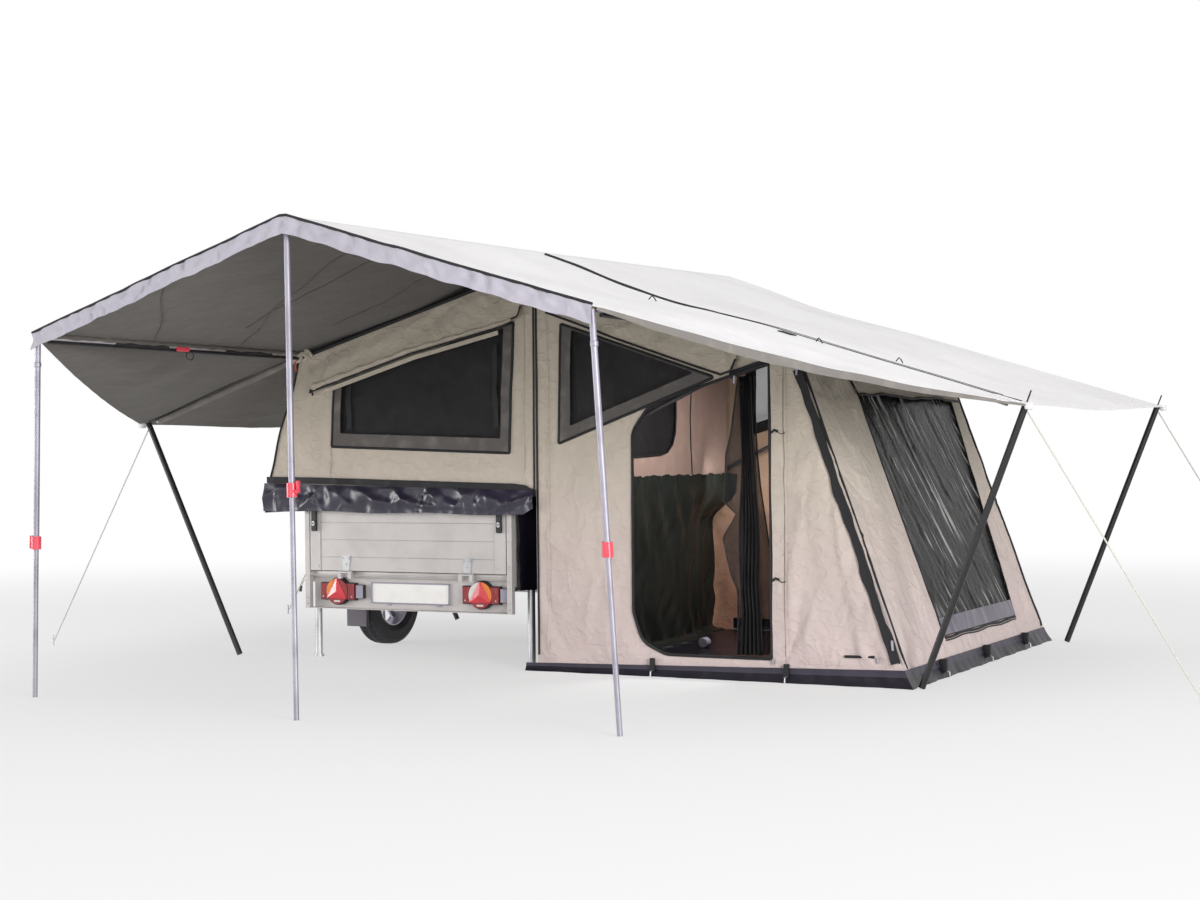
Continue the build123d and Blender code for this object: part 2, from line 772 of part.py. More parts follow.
add("roof_bed", canopy((
    (eave_left_x, tent_rear_y, eave_z),
    (ridge_x, tent_rear_y, ridge_z),
    (ridge_x, tent_front_y, ridge_z),
    (eave_left_x, tent_front_y, eave_z),
)))
add("roof_room", canopy((
    (ridge_x, tent_rear_y, ridge_z),
    (eave_right_x, tent_rear_y, eave_z),
    (eave_right_x, tent_front_y, eave_z),
    (ridge_x, tent_front_y, ridge_z),
)))

# Cross walls: outlines and the openings cut in each
bed_outline = (
    (deck_left, deck_top),
    (ridge_x, deck_top),
    (ridge_x, ridge_z - roof_under),
    (eave_left_x, eave_z - roof_under),
)
roof_fall_room = (ridge_z - eave_z) / (eave_right_x - ridge_x)
room_outline = (
    (ridge_x + curtain_gap, band_height),
    (right_wall_x(band_height), band_height),
    (eave_right_x, eave_z - roof_under),
    (ridge_x + curtain_gap, ridge_z - roof_under - roof_fall_room * curtain_gap),
)
wall_rows = (
    # name, outline, wall's low y, (opening outline, corner radius) pairs
    ("rear_wall_bed", bed_outline, tent_rear_y, ((bed_window, window_round),)),
    ("rear_wall_room", room_outline, tent_rear_y, (
        (room_window, window_round),
        (doorway, door_round),
    )),
    ("front_wall_bed", bed_outline, tent_front_y - cloth, ((bed_window, window_round),)),
    ("front_wall_room", room_outline, tent_front_y - cloth, ((far_window, window_round),)),
)
mesh_rows = (
    # opening outline, wall's low y
    (bed_window, tent_rear_y),
    (room_window, tent_rear_y),
    (bed_window, tent_front_y - cloth),
    (far_window, tent_front_y - cloth),
)
for name, outline, y, openings in wall_rows:
    wall = upright(outline, y, cloth)
    for opening, radius in openings:
        wall -= rounded_upright(opening, y, cloth, radius)
    add(name, wall)
add("window_meshes", *[rounded_upright(opening, y, cloth, window_round) for opening, y in mesh_rows])

# End walls lean inward between the cross walls
inner_rear_y = tent_rear_y + cloth
inner_depth = tent_depth - 2 * cloth


def leaning(outer_x, low, high, inward):
    """End wall between two heights, as thick as the cloth along X."""
    outline = (
        (outer_x(low), low),
        (outer_x(high), high),
        (outer_x(high) + inward * cloth, high),
        (outer_x(low) + inward * cloth, low),
    )
    return upright(outline, inner_rear_y, inner_depth)


under_eave = eave_z - roof_under
add("end_wall_bed", leaning(left_wall_x, deck_top, under_eave - cloth / 2, 1))
end_wall = leaning(right_wall_x, band_height, under_eave - cloth / 2, -1)
clear_rear_y = tent_rear_y + clear_rear_inset
clear_front_top_y = tent_front_y - clear_front_top_inset
clear_front_low_y = tent_front_y - clear_front_low_inset
clear_reach = 2 * (base_right_x - eave_right_x)


def clear_cutter():
    """Prism through the right end wall with the clear window's outline."""
    outline = Polyline(
        (eave_right_x - cloth, clear_rear_y, clear_low),
        (eave_right_x - cloth, clear_front_low_y, clear_low),
        (eave_right_x - cloth, clear_front_top_y, clear_high),
        (eave_right_x - cloth, clear_rear_y, clear_high),
        close=True,
    )
    return extrude(make_face(outline), amount=clear_reach, dir=(1, 0, 0))


add("window_clear", end_wall & clear_cutter())
add("end_wall_room", end_wall - clear_cutter())

# Ground sheet with a band up the walls, and the curtain below the bed's edge
curtain_thickness = cloth
room_left = curtain_x + curtain_thickness
room_depth = (inner_rear_y, tent_front_y - cloth)
sheet = block((room_left, right_wall_x(0) - cloth), room_depth, (0, sheet_floor))
band_outline = (
    (curtain_x, 0),
    (right_wall_x(0), 0),
    (right_wall_x(band_height), band_height),
    (curtain_x, band_height),
)
sheet += upright(band_outline, tent_rear_y, cloth)
sheet += upright(band_outline, tent_front_y - cloth, cloth)
sheet += leaning(right_wall_x, 0, band_height, -1)
add("groundsheet", sheet)
curtain_span = (curtain_x, curtain_x + curtain_thickness)
curtain = block(curtain_span, room_depth, (0, deck_top))
# The bed cabin's inner wall stands above the curtain, with a mesh window
curtain += block(
    curtain_span,
    (inner_rear_y + partition_gap, tent_front_y - cloth - partition_gap),
    (deck_top, ridge_z - partition_top_gap),
)
curtain -= block(
    curtain_span,
    (partition_window_rear_y, partition_window_front_y),
    (partition_window_low, partition_window_high),
)
add("bed_curtain", curtain)

# Skirts hang from the deck's edges outside the box
skirt_top = deck_top
skirt_bottom = box_top - skirt_drop
add("skirt_rear", upright((
    (deck_left, skirt_bottom),
    (deck_right, skirt_bottom),
    (deck_right, skirt_top),
    (deck_left, skirt_top + skirt_lift),
), tent_rear_y - skirt_overhang, skirt_overhang))
add(
    "skirt_sides",
    block(
        (deck_left - skirt_overhang, deck_left),
        (tent_rear_y, tent_front_y),
        (skirt_bottom, skirt_top),
    ),
    block(
        (deck_left, deck_right),
        (tent_front_y, tent_front_y + skirt_overhang),
        (skirt_bottom, skirt_top),
    ),
)

# Tent frame: ridge and eave bars on legs that fan out from a pivot on the deck
bow_rear_y = inner_rear_y + bow_inset
bow_front_y = tent_front_y - cloth - bow_inset
pivot_x = ridge_x - pivot_radius
pivot_z = deck_top + pivot_radius
bow_drop = cloth + bow_radius + bow_play
bow_span = (inner_rear_y + 2 * seat_gap, tent_front_y - cloth - 2 * seat_gap)
bow_tops = (
    # x and z of the bar each pair of legs carries
    (eave_left_x + 2 * bow_drop, eave_z - bow_drop),
    (ridge_x, ridge_z - bow_drop - bow_radius / 2),
    (eave_right_x - 2 * bow_drop, eave_z - bow_drop),
)
bows = []
for x, z in bow_tops:
    bows.append(rod((x, bow_span[0], z), (x, bow_span[1], z), bow_radius))
    for leg_y in (bow_rear_y, bow_front_y):
        foot = toward((pivot_x, leg_y, pivot_z), (x, leg_y, z), pivot_radius / 2)
        head = toward((x, leg_y, z), (pivot_x, leg_y, pivot_z), bow_radius + seat_gap)
        bows.append(rod(foot, head, bow_radius))
for leg_y, inward in ((bow_rear_y, 1), (bow_front_y, -1)):
    plate_y = leg_y + inward * (bow_radius + seat_gap + pivot_thickness / 2)
    bows.append(drum((pivot_x, plate_y, pivot_z), (0, 1, 0), pivot_radius, pivot_thickness))
add("tent_frame", *bows)

# Fly sheet: two slopes and two outer flaps, all rising gently towards the front
fly_ys = ((tent_rear_y, 0.0), (tent_front_y, fly_rise))


def fly_line(x, z):
    """Rear and front ends of a fold line of the fly sheet."""
    return [(x, y, z + rise) for y, rise in fly_ys]


fly_ridge = fly_line(ridge_x, ridge_z + fly_gap)
# The eave bars lie between the roof's edge and the fly's fold
roof_fall = (ridge_z - eave_z) / (ridge_x - eave_left_x)
flap_fall = (eave_z - fly_tip_z) / (eave_left_x - fly_tip_left_x)
bar_stack = (bar_radius + 2 * seat_gap) * (math.hypot(1, roof_fall) + math.hypot(1, flap_fall))
fly_eave_z = eave_z + cloth + bar_stack
fly_eaves = {
    "left": fly_line(eave_left_x, fly_eave_z),
    "right": fly_line(eave_right_x, fly_eave_z),
}
fly_tips = {}
for name, tip_x in (("left", fly_tip_left_x), ("right", fly_tip_right_x)):
    rear_eave, front_eave = [Vector(*point) for point in fly_eaves[name]]
    flap_run = Vector(tip_x, tent_rear_y, fly_tip_z) - rear_eave
    fly_tips[name] = [rear_eave + flap_run, front_eave + flap_run * front_flap_ratio]
porch_ridge = (porch_ridge_x, porch_front_y, porch_ridge_z)
porch_corners = {
    "left": (porch_left_x, porch_front_y, porch_left_z),
    "right": (porch_right_x, porch_front_y, porch_right_z),
}
fly_flaps, porch_flaps, valances = [], [], []
for name, side in lateral_sides:
    eave, tip, corner = fly_eaves[name], fly_tips[name], porch_corners[name]
    add("fly_" + name, canopy((fly_ridge[0], eave[0], eave[1], fly_ridge[1])))
    fly_flaps.append(canopy((eave[0], tip[0], tip[1], eave[1]), {1: edge_sag, 2: edge_sag / 3}))
    add("porch_" + name, slope((porch_ridge, corner), (fly_ridge[0], eave[0])))
    porch_flaps.append(canopy((corner, tip[0], eave[0]), {0: edge_sag}))
    valance_top = cloth + seat_gap
    valances.append(upright((
        (porch_ridge[0] + side * seat_gap, porch_ridge[2] - valance_top),
        (corner[0], corner[2] - valance_top),
        (corner[0], corner[2] - valance_top - valance_drop),
        (porch_ridge[0] + side * seat_gap, porch_ridge[2] - valance_top - valance_drop),
    ), porch_front_y, cloth))
add("porch_flaps", *porch_flaps)
add("porch_valance", *valances)

# Porch poles: a lower tube in an upper tube, clamped where they meet
pole_y = porch_front_y + cloth + pole_upper_radius + seat_gap
pole_drop = 2 * cloth + pole_upper_radius / 2
pole_rows = (
    # foot x, how far the foot stands out behind, top x, top z, clamp height
    (pole_left_foot_x, 0.0, porch_left_x + pole_upper_radius, porch_left_z, pole_left_joint_z),
    (pole_ridge_foot_x, pole_ridge_kick, porch_ridge_x, porch_ridge_z, pole_ridge_joint_z),
    (pole_right_foot_x, 0.0, porch_right_x - pole_upper_radius, porch_right_z, pole_right_joint_z),
)
poles, pole_clamps = [], []
for foot_x, kick, top_x, top_z, joint_z in pole_rows:
    # A pole that stands out behind starts further in, to clear the valance
    hem_drop = valance_top + valance_drop - pole_drop
    clear_y = pole_y + kick * hem_drop / (top_z - pole_drop)
    foot = (foot_x, clear_y - kick, 0.0)
    top = (top_x, clear_y, top_z - pole_drop)
    run = Vector(*top) - Vector(*foot)
    joint = toward(foot, top, joint_z * run.length / run.Z)
    pole = standing_rod(foot, joint, pole_lower_radius) + rod(joint, top, pole_upper_radius)
    poles.append(pole)
    low = toward(joint, top, -pole_clamp_height / 2)
    clamp = rod(low, toward(low, top, pole_clamp_height), pole_clamp_radius)
    pole_clamps.append(clamp - pole)
add("porch_poles", *poles)
add("pole_clamps", *pole_clamps)


def upward_normal(origin, first, second):
    """Unit normal, pointing up, of the plane through three points."""
    normal = (Vector(*first) - Vector(*origin)).cross(Vector(*second) - Vector(*origin)).normalized()
    return normal if normal.Z > 0 else normal * -1


def disc_reach(radius, axis, direction):
    """How far a flat round end with this axis sticks out along a direction."""
    return radius * math.sqrt(max(0.0, 1 - axis.normalized().dot(direction) ** 2))


# Bars seat under the fly's folds and flaps, corner poles lean out to its tips,
# and stays run from the pole heads to pegs in the ground
bars, corner_poles, stays, pegs = [], [], [], []
foot_xs = {"left": corner_foot_left, "right": base_right_x + corner_foot_inset}
under_cloth = Vector(0, 0, -cloth)
leg_inset = 2 * corner_pole_radius
for flap_index, (name, side) in enumerate(lateral_sides):
    eaves = [Vector(*point) for point in fly_eaves[name]]
    tips = fly_tips[name]
    flap_normal = upward_normal(eaves[0], tips[0], tips[1])
    along = (tips[1] - tips[0]).normalized()
    for index, inset in ((0, leg_inset), (1, -leg_inset)):
        down_flap = (tips[index] - eaves[index]).normalized()
        seat = eaves[index] + along * inset + under_cloth - flap_normal * (bar_radius + seat_gap)
        flap_length = (tips[index] - eaves[index]).length
        bar_end = flap_length - 3 * leg_inset
        bars.append(rod(seat + down_flap * leg_inset, seat + down_flap * bar_end, bar_radius))
        under_tip = tips[index] + along * inset - down_flap * leg_inset + under_cloth
        foot = Vector(foot_xs[name] + side * index * corner_foot_flare, under_tip.Y, 0.0)
        lean = under_tip - foot
        head = under_tip - flap_normal * (disc_reach(corner_pole_radius, lean, flap_normal) + seat_gap)
        axis = (head - foot).normalized()
        # A spike on the pole's head goes up through a hole in the flap
        spike_top = head + axis * (spike_height + cloth)
        pole = standing_rod(foot, head, corner_pole_radius)
        corner_poles.append(pole + rod(head, spike_top, spike_radius))
        fly_flaps[flap_index] -= rod(head - axis * cloth, spike_top, spike_radius + seat_gap)
        outward = Vector(side * axis.Z, 0, -side * axis.X)
        tie = head - axis * leg_inset
        knot = Vector(tips[index].X + side * stay_reach, tie.Y, peg_height / 2)
        reach = corner_pole_radius + seat_gap + disc_reach(stay_radius, knot - tie, outward)
        stay_top = tie + outward * reach
        stays.append(rod(stay_top, knot, stay_radius))
        sideways = Vector(side, 0, 0)
        peg_x = knot.X + side * (peg_radius + seat_gap + disc_reach(stay_radius, knot - stay_top, sideways))
        pegs.append(rod((peg_x, knot.Y, 0.0), (peg_x, knot.Y, peg_height), peg_radius))
    corner = Vector(*porch_corners[name])
    fold = (eaves[0] - corner).normalized()
    ends = []
    for point, inner in ((corner, Vector(*porch_ridge)), (eaves[0], Vector(*fly_ridge[0]))):
        slope_normal = upward_normal(point, inner, point + fold)
        outer_normal = upward_normal(point, tips[0], point + fold)
        steeper = max(slope_normal, outer_normal, key=lambda normal: -normal.Z)
        ends.append(point + under_cloth - steeper * (bar_radius + seat_gap))
    bar_start = toward(ends[0], ends[1], 3 * pole_upper_radius)
    bars.append(rod(bar_start, toward(ends[1], ends[0], -bar_overlap), bar_radius))
ridge_ends = []
for point, outer in ((porch_ridge, porch_corners["left"]), (fly_ridge[0], fly_eaves["left"][0])):
    fall = (point[2] - outer[2]) / abs(point[0] - outer[0])
    seat_drop = (bar_radius + seat_gap) * math.hypot(1, fall)
    ridge_ends.append(Vector(*point) + under_cloth - Vector(0, 0, seat_drop))
bars.append(rod(toward(ridge_ends[0], ridge_ends[1], 3 * pole_upper_radius), ridge_ends[1], bar_radius))
add("fly_flaps", *fly_flaps)
add("fly_bars", *bars)
add("corner_poles", *corner_poles)
add("guy_stays", *stays)
add("pegs", *pegs)

# Stand the whole on the ground under the middle of its bounding box
whole = Compound([solid for piece in pieces.values() for solid in piece.solids()]).bounding_box()
origin_shift = Vector(-(whole.min.X + whole.max.X) / 2, -(whole.min.Y + whole.max.Y) / 2, -whole.min.Z)
os.makedirs("parts", exist_ok=True)
for name, piece in pieces.items():
    export_step(piece.moved(Location(origin_shift)), "parts/" + name + ".step")
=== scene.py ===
"""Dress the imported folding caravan, pitched with its fly sheet and porch roof, for a studio picture.

Lengths are metres in the maker's frame: X to the right seen from behind, Y forward to the tow ball, Z up,
with X = 0 on the trailer's centre line and Y = 0 at the rear of the box. Site carries the shift from there
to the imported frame.
"""

import json
import logging
import math
from dataclasses import dataclass, field, replace
from enum import Enum
from functools import cache
from typing import Callable, Iterable, Sequence, Union

import bmesh
import bpy
import numpy as np
from mathutils import Matrix, Vector, geometry

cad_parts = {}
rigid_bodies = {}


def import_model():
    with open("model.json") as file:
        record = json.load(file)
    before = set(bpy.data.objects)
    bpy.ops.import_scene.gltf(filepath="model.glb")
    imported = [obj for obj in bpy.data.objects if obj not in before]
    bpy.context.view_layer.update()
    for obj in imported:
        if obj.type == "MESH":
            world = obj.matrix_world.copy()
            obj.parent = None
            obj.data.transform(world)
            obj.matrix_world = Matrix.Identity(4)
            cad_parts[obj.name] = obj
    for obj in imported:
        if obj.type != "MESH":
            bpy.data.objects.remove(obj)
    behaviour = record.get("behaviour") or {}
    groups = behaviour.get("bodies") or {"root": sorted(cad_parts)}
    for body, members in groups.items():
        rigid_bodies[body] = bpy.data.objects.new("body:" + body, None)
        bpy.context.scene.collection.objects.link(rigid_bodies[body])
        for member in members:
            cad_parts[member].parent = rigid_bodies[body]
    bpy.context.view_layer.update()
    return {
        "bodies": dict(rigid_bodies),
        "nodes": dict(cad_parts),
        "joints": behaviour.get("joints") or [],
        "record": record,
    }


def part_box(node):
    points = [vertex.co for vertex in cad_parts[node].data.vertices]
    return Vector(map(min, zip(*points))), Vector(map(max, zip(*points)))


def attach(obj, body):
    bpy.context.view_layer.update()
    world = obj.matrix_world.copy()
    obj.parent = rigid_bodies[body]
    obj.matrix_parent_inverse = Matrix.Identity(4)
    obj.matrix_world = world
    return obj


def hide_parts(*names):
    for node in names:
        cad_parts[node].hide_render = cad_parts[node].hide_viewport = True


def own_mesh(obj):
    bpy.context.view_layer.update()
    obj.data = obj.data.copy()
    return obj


LOG = logging.getLogger("caravan")

Colour = tuple[int, int, int]
Linear = tuple[float, float, float, float]
Flat = tuple[float, float]
Point = tuple[float, float, float]
Term = Union["Value", float, Colour, Linear, Point]
Array = np.ndarray
Flats = Sequence[Flat]
Relief = Callable[[Array, Array], Array]
CreaseSets = tuple[tuple[float, ...], ...]

SOFT_EDGE = 60.0  # cloth keeps only edges sharper than this many degrees
AHEAD: Point = (0.0, 1.0, 0.0)
UP: Point = (0.0, 0.0, 1.0)
TOUCH = 1e-6  # points this near count as one
LEAST_RADIUS = 1e-5  # of a ring that stands for a point
NO_ZERO = 1e-15  # keeps a divisor from being nothing


def paint(red: int, green: int, blue: int) -> Linear:
    """Turn screen levels into the linear colour that a shader takes.

    Args:
        red: Level from 0 to 255.
        green: Level from 0 to 255.
        blue: Level from 0 to 255.

    Returns:
        The linear colour, opaque.
    """
    shares = [level / 255 for level in (red, green, blue)]
    low = [share / 12.92 if share <= 0.04045 else ((share + 0.055) / 1.055) ** 2.4 for share in shares]
    return (low[0], low[1], low[2], 1.0)


class Value:
    """A node's output on which Python arithmetic adds Math nodes."""

    def __init__(self, recipe: "Recipe", socket: bpy.types.NodeSocket) -> None:
        """Keep the output and the recipe it belongs to."""
        self.recipe = recipe
        self.socket = socket

    def math(self, operation: str, *terms: Term) -> "Value":
        """Add a Math node on these terms."""
        return self.recipe.add("Math", {"operation": operation}, dict(enumerate(terms)))

    def __add__(self, other: Term) -> "Value":
        """Sum."""
        return self.math("ADD", self, other)

    def __sub__(self, other: Term) -> "Value":
        """Difference."""
        return self.math("SUBTRACT", self, other)

    def __rsub__(self, other: Term) -> "Value":
        """Reflected difference."""
        return self.math("SUBTRACT", other, self)

    def __mul__(self, other: Term) -> "Value":
        """Product."""
        return self.math("MULTIPLY", self, other)

    def wave(self) -> "Value":
        """Sine of the value."""
        return self.math("SINE", self)

    def mask(self, low: float, high: float) -> "Value":
        """Smooth step from 0 at low to 1 at high."""
        stops = {0: self, 1: low, 2: high, 3: 0.0, 4: 1.0}
        return self.recipe.add("MapRange", {"interpolation_type": "SMOOTHSTEP"}, stops)


class Recipe:
    """The nodes of one material or of the world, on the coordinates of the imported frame."""

    def __init__(self, name: str, tree: bpy.types.NodeTree | None = None) -> None:
        """Start an empty material, or empty a tree that is there.

        Args:
            name: The material's name.
            tree: The tree to empty, or None for a new material.
        """
        self.material = None
        if tree is None:
            self.material = bpy.data.materials.new(name)
            self.material.use_nodes = True
            tree = self.material.node_tree
        self.tree = tree
        self.tree.nodes.clear()

    def seen(self) -> Value:
        """Tell the rays that look from the light's own.

        Returns:
            1 for rays that the camera, a gloss or a clear sheet sends out, 0 for the others.
        """
        kinds = ("Camera", "Glossy", "Transmission")
        first, second, third = (self.add("LightPath", output=f"Is {kind} Ray") for kind in kinds)
        return first.math("MAXIMUM", first, second.math("MAXIMUM", second, third))

    def add(
        self,
        kind: str,
        settings: dict[str, object] | None = None,
        inputs: dict[int | str, Term] | None = None,
        output: int | str = 0,
    ) -> Value:
        """Add one node.

        Args:
            kind: The node's type, without the ShaderNode that starts it.
            settings: Its own settings, set before its sockets.
            inputs: A value or a link for each socket, by name or place.
            output: The output to go on with.

        Returns:
            That output.
        """
        node = self.tree.nodes.new("ShaderNode" + kind)
        for key, value in (settings or {}).items():
            setattr(node, key, value)
        for key, value in (inputs or {}).items():
            if isinstance(value, Value):
                self.tree.links.new(value.socket, node.inputs[key])
            else:
                node.inputs[key].default_value = value
        return Value(self, node.outputs[output] if len(node.outputs) else None)

    def place(self, stretch: Point = (1.0, 1.0, 1.0), turn: float = 0.0) -> Value:
        """Object coordinates, turned and then stretched.

        Args:
            stretch: What each axis is multiplied by.
            turn: Angle about X.

        Returns:
            The coordinates.
        """
        spot = self.add("TexCoord", output="Object")
        if turn:
            spot = self.add("VectorRotate", {"rotation_type": "X_AXIS"}, {"Vector": spot, "Angle": turn})
        return self.add("VectorMath", {"operation": "MULTIPLY"}, {0: spot, 1: stretch})

    def axis(self, name: str) -> Value:
        """One of the object coordinates, by its letter."""
        return self.add("SeparateXYZ", inputs={0: self.place()}, output=name)

    def noise(
        self, scale: float, detail: float = 3.0, stretch: Point = (1.0, 1.0, 1.0), turn: float = 0.0
    ) -> Value:
        """Cloudy values from 0 to 1 with this many clouds to the metre."""
        inputs = {"Vector": self.place(stretch, turn), "Scale": scale, "Detail": detail}
        return self.add("TexNoise", inputs=inputs)

    def ridge(self, scale: float, stretch: Point) -> Value:
        """Narrow wandering creases from 0 to 1."""
        wander = self.noise(scale, 2.0, stretch) * 2.0 - 1.0
        return wander.math("POWER", 1.0 - wander.math("ABSOLUTE", wander), 9.0)

    def mix(self, share: Term, first: Term, second: Term) -> Value:
        """Blend two colours, each a value or screen levels."""
        first, second = (paint(*term) if isinstance(term, tuple) else term for term in (first, second))
        return self.add("Mix", {"data_type": "RGBA"}, {0: share, 6: first, 7: second}, output=2)

    def threads(self, pitch: float) -> Value:
        """Crossed threads along the axes.

        Args:
            pitch: Distance from thread to thread.

        Returns:
            Heights from -2 to 2.
        """
        turns = math.tau / pitch
        x, y, z = ((self.axis(name) * turns).wave() for name in "XYZ")
        return (x + y) * z

    def close(self, sockets: dict[str, Term], height: Value | None = None, depth: float = 0.0) -> bpy.types.Material:
        """Finish the material with one principled shader.

        Args:
            sockets: Values or links of the shader's sockets.
            height: Relief from 0 to 1, or None for a smooth surface.
            depth: Height of the relief in metres.

        Returns:
            The material.
        """
        if height is not None:
            bump = {"Height": height, "Distance": depth, "Strength": 1.0}
            sockets = {**sockets, "Normal": self.add("Bump", inputs=bump)}
        shader = self.add("BsdfPrincipled", inputs=sockets)
        self.add("OutputMaterial", inputs={"Surface": shader})
        return self.material


@dataclass(frozen=True)
class Canvas:
    """Woven cloth, with fading, a paler foot and fine creases."""

    name: str
    colour: Colour
    foot: Colour
    foot_top: float = 1.5
    pitch: float = 0.003
    crease: float = 0.003
    roughness: float = 0.88
    sheen: float = 0.15
    wear: float = 0.12

    def material(self) -> bpy.types.Material:
        """Build the material.

        Returns:
            The material.
        """
        recipe = Recipe(self.name)
        fade = recipe.noise(1.3, 4.0)
        blotch = recipe.noise(9.0, 5.0)
        low = recipe.axis("Z").mask(self.foot_top, 0.1)
        tone = recipe.mix(low, self.colour, self.foot)
        dusty = recipe.mix(fade.mask(0.35, 0.75) * 0.14, tone, (120, 112, 104))
        worn = recipe.mix(blotch.mask(0.45, 0.8) * self.wear, dusty, (236, 228, 214))
        crumple = recipe.noise(24.0, 4.0, (1.0, 1.0, 0.6)) * 0.4 + recipe.threads(self.pitch) * 0.03
        height = crumple + recipe.ridge(4.0, (1.0, 1.0, 0.6)) * 0.9 + recipe.ridge(9.0, (1.0, 1.0, 1.4)) * 0.5
        sockets = {
            "Base Color": worn,
            "Roughness": blotch * 0.12 + (self.roughness - 0.06),
            "Sheen Weight": self.sheen,
            "Specular IOR Level": 0.25,
        }
        return recipe.close(sockets, height, self.crease)


@dataclass(frozen=True)
class Sheeting:
    """Coated sheet with a soft shine, painted glint patches and a crumpled surface."""

    name: str
    colour: Colour
    # glint: lighter colour of the painted highlight patches
    glint: Colour
    roughness: float = 0.34
    crumple: float = 0.004
    scale: float = 16.0
    alpha: float = 1.0
    gloss: float = 0.5
    # strength of painted highlight streaks, light caught on long creases
    streak_highlight: float = 0.0

    def material(self) -> bpy.types.Material:
        """Build the material.

        Returns:
            The material.
        """
        recipe = Recipe(self.name)
        folds = recipe.noise(self.scale, 4.0, (1.0, 1.0, 1.3))
        glint_patches = recipe.noise(5.0, 5.0)
        # painted highlight: the lighter glint colour is patched on by noise, which also varies the roughness
        tone = recipe.mix(glint_patches.mask(0.35, 0.75) * 0.5, self.colour, self.glint)
        if self.streak_highlight:
            # painted highlight: long thin diagonal streaks lightened towards (206, 206, 204)
            lines = recipe.noise(34.0, 1.0, (0.0, 1.0, 0.045), -0.42).mask(0.57, 0.65)
            lines = lines * recipe.noise(3.0).mask(0.4, 0.6)
            tone = recipe.mix(lines * self.streak_highlight, tone, (206, 206, 204))
        sockets = {
            "Base Color": tone,
            "Roughness": glint_patches * 0.2 + (self.roughness - 0.1),
            "Specular IOR Level": self.gloss,
            "Alpha": self.alpha,
        }
        return recipe.close(sockets, folds, self.crumple)


@dataclass(frozen=True)
class Netting:
    """Fine open mesh that lets part of the light through, with painted highlights on its slack creases."""

    name: str
    colour: Colour
    cover: float = 0.8

    def material(self) -> bpy.types.Material:
        """Build the material.

        Returns:
            The material.
        """
        recipe = Recipe(self.name)
        holes = recipe.threads(0.0024)
        slack = recipe.noise(4.0, 3.0) * 0.5 + recipe.ridge(3.0, (1.0, 1.0, 1.0)) * 0.5
        sockets = {
            # painted highlight: the slack creases lightened towards (34, 33, 35); the same mask varies roughness and
            # cover
            "Base Color": recipe.mix(slack, self.colour, (34, 33, 35)),
            "Roughness": slack * 0.2 + 0.6,
            "Alpha": holes * 0.1 + slack * 0.12 + (self.cover - 0.06),
        }
        return recipe.close(sockets, holes, 0.0004)


@dataclass(frozen=True)
class Metal:
    """Metal with drawn grain, dull patches and small scuffs."""

    name: str
    colour: Colour
    dull: Colour
    roughness: float = 0.38
    metallic: float = 1.0
    grain: Point = (1.0, 40.0, 40.0)
    scale: float = 30.0

    def material(self) -> bpy.types.Material:
        """Build the material.

        Returns:
            The material.
        """
        recipe = Recipe(self.name)
        drawn = recipe.noise(self.scale, 2.0, self.grain)
        patch = recipe.noise(7.0, 5.0)
        scuff = recipe.noise(55.0, 3.0).mask(0.62, 0.72)
        tone = recipe.mix(patch.mask(0.4, 0.7) * 0.55, self.colour, self.dull)
        sockets = {
            "Base Color": recipe.mix(scuff * 0.25, tone, self.dull),
            "Metallic": self.metallic,
            "Roughness": drawn * 0.12 + patch * 0.14 + (self.roughness - 0.13),
        }
        return recipe.close(sockets, drawn, 0.00025)


@dataclass(frozen=True)
class Moulding:
    """Plastic, paint or rubber with fine stipple and rubbed patches."""

    name: str
    colour: Colour
    rubbed: Colour
    roughness: float = 0.5
    coat: float = 0.0
    stipple: float = 0.0003
    scale: float = 260.0

    def material(self) -> bpy.types.Material:
        """Build the material.

        Returns:
            The material.
        """
        recipe = Recipe(self.name)
        grain = recipe.noise(self.scale, 2.0)
        patch = recipe.noise(11.0, 5.0)
        sockets = {
            "Base Color": recipe.mix(patch.mask(0.45, 0.75) * 0.5, self.colour, self.rubbed),
            "Roughness": grain * 0.08 + patch * 0.16 + (self.roughness - 0.12),
            "Coat Weight": self.coat,
            "Coat Roughness": 0.08,
        }
        return recipe.close(sockets, grain, self.stipple)


@dataclass(frozen=True)
class Timber:
    """Sawn board with long figure and darker pores."""

    name: str
    colour: Colour
    dark: Colour

    def material(self) -> bpy.types.Material:
        """Build the material.

        Returns:
            The material.
        """
        recipe = Recipe(self.name)
        figure = recipe.noise(3.0, 6.0, (14.0, 1.0, 14.0))
        pores = recipe.noise(90.0, 2.0, (1.0, 0.06, 1.0))
        tone = recipe.mix(figure, self.colour, self.dark)
        sockets = {
            "Base Color": recipe.mix(pores.mask(0.55, 0.7) * 0.4, tone, self.dark),
            "Roughness": pores * 0.2 + 0.5,
        }
        return recipe.close(sockets, pores, 0.0004)


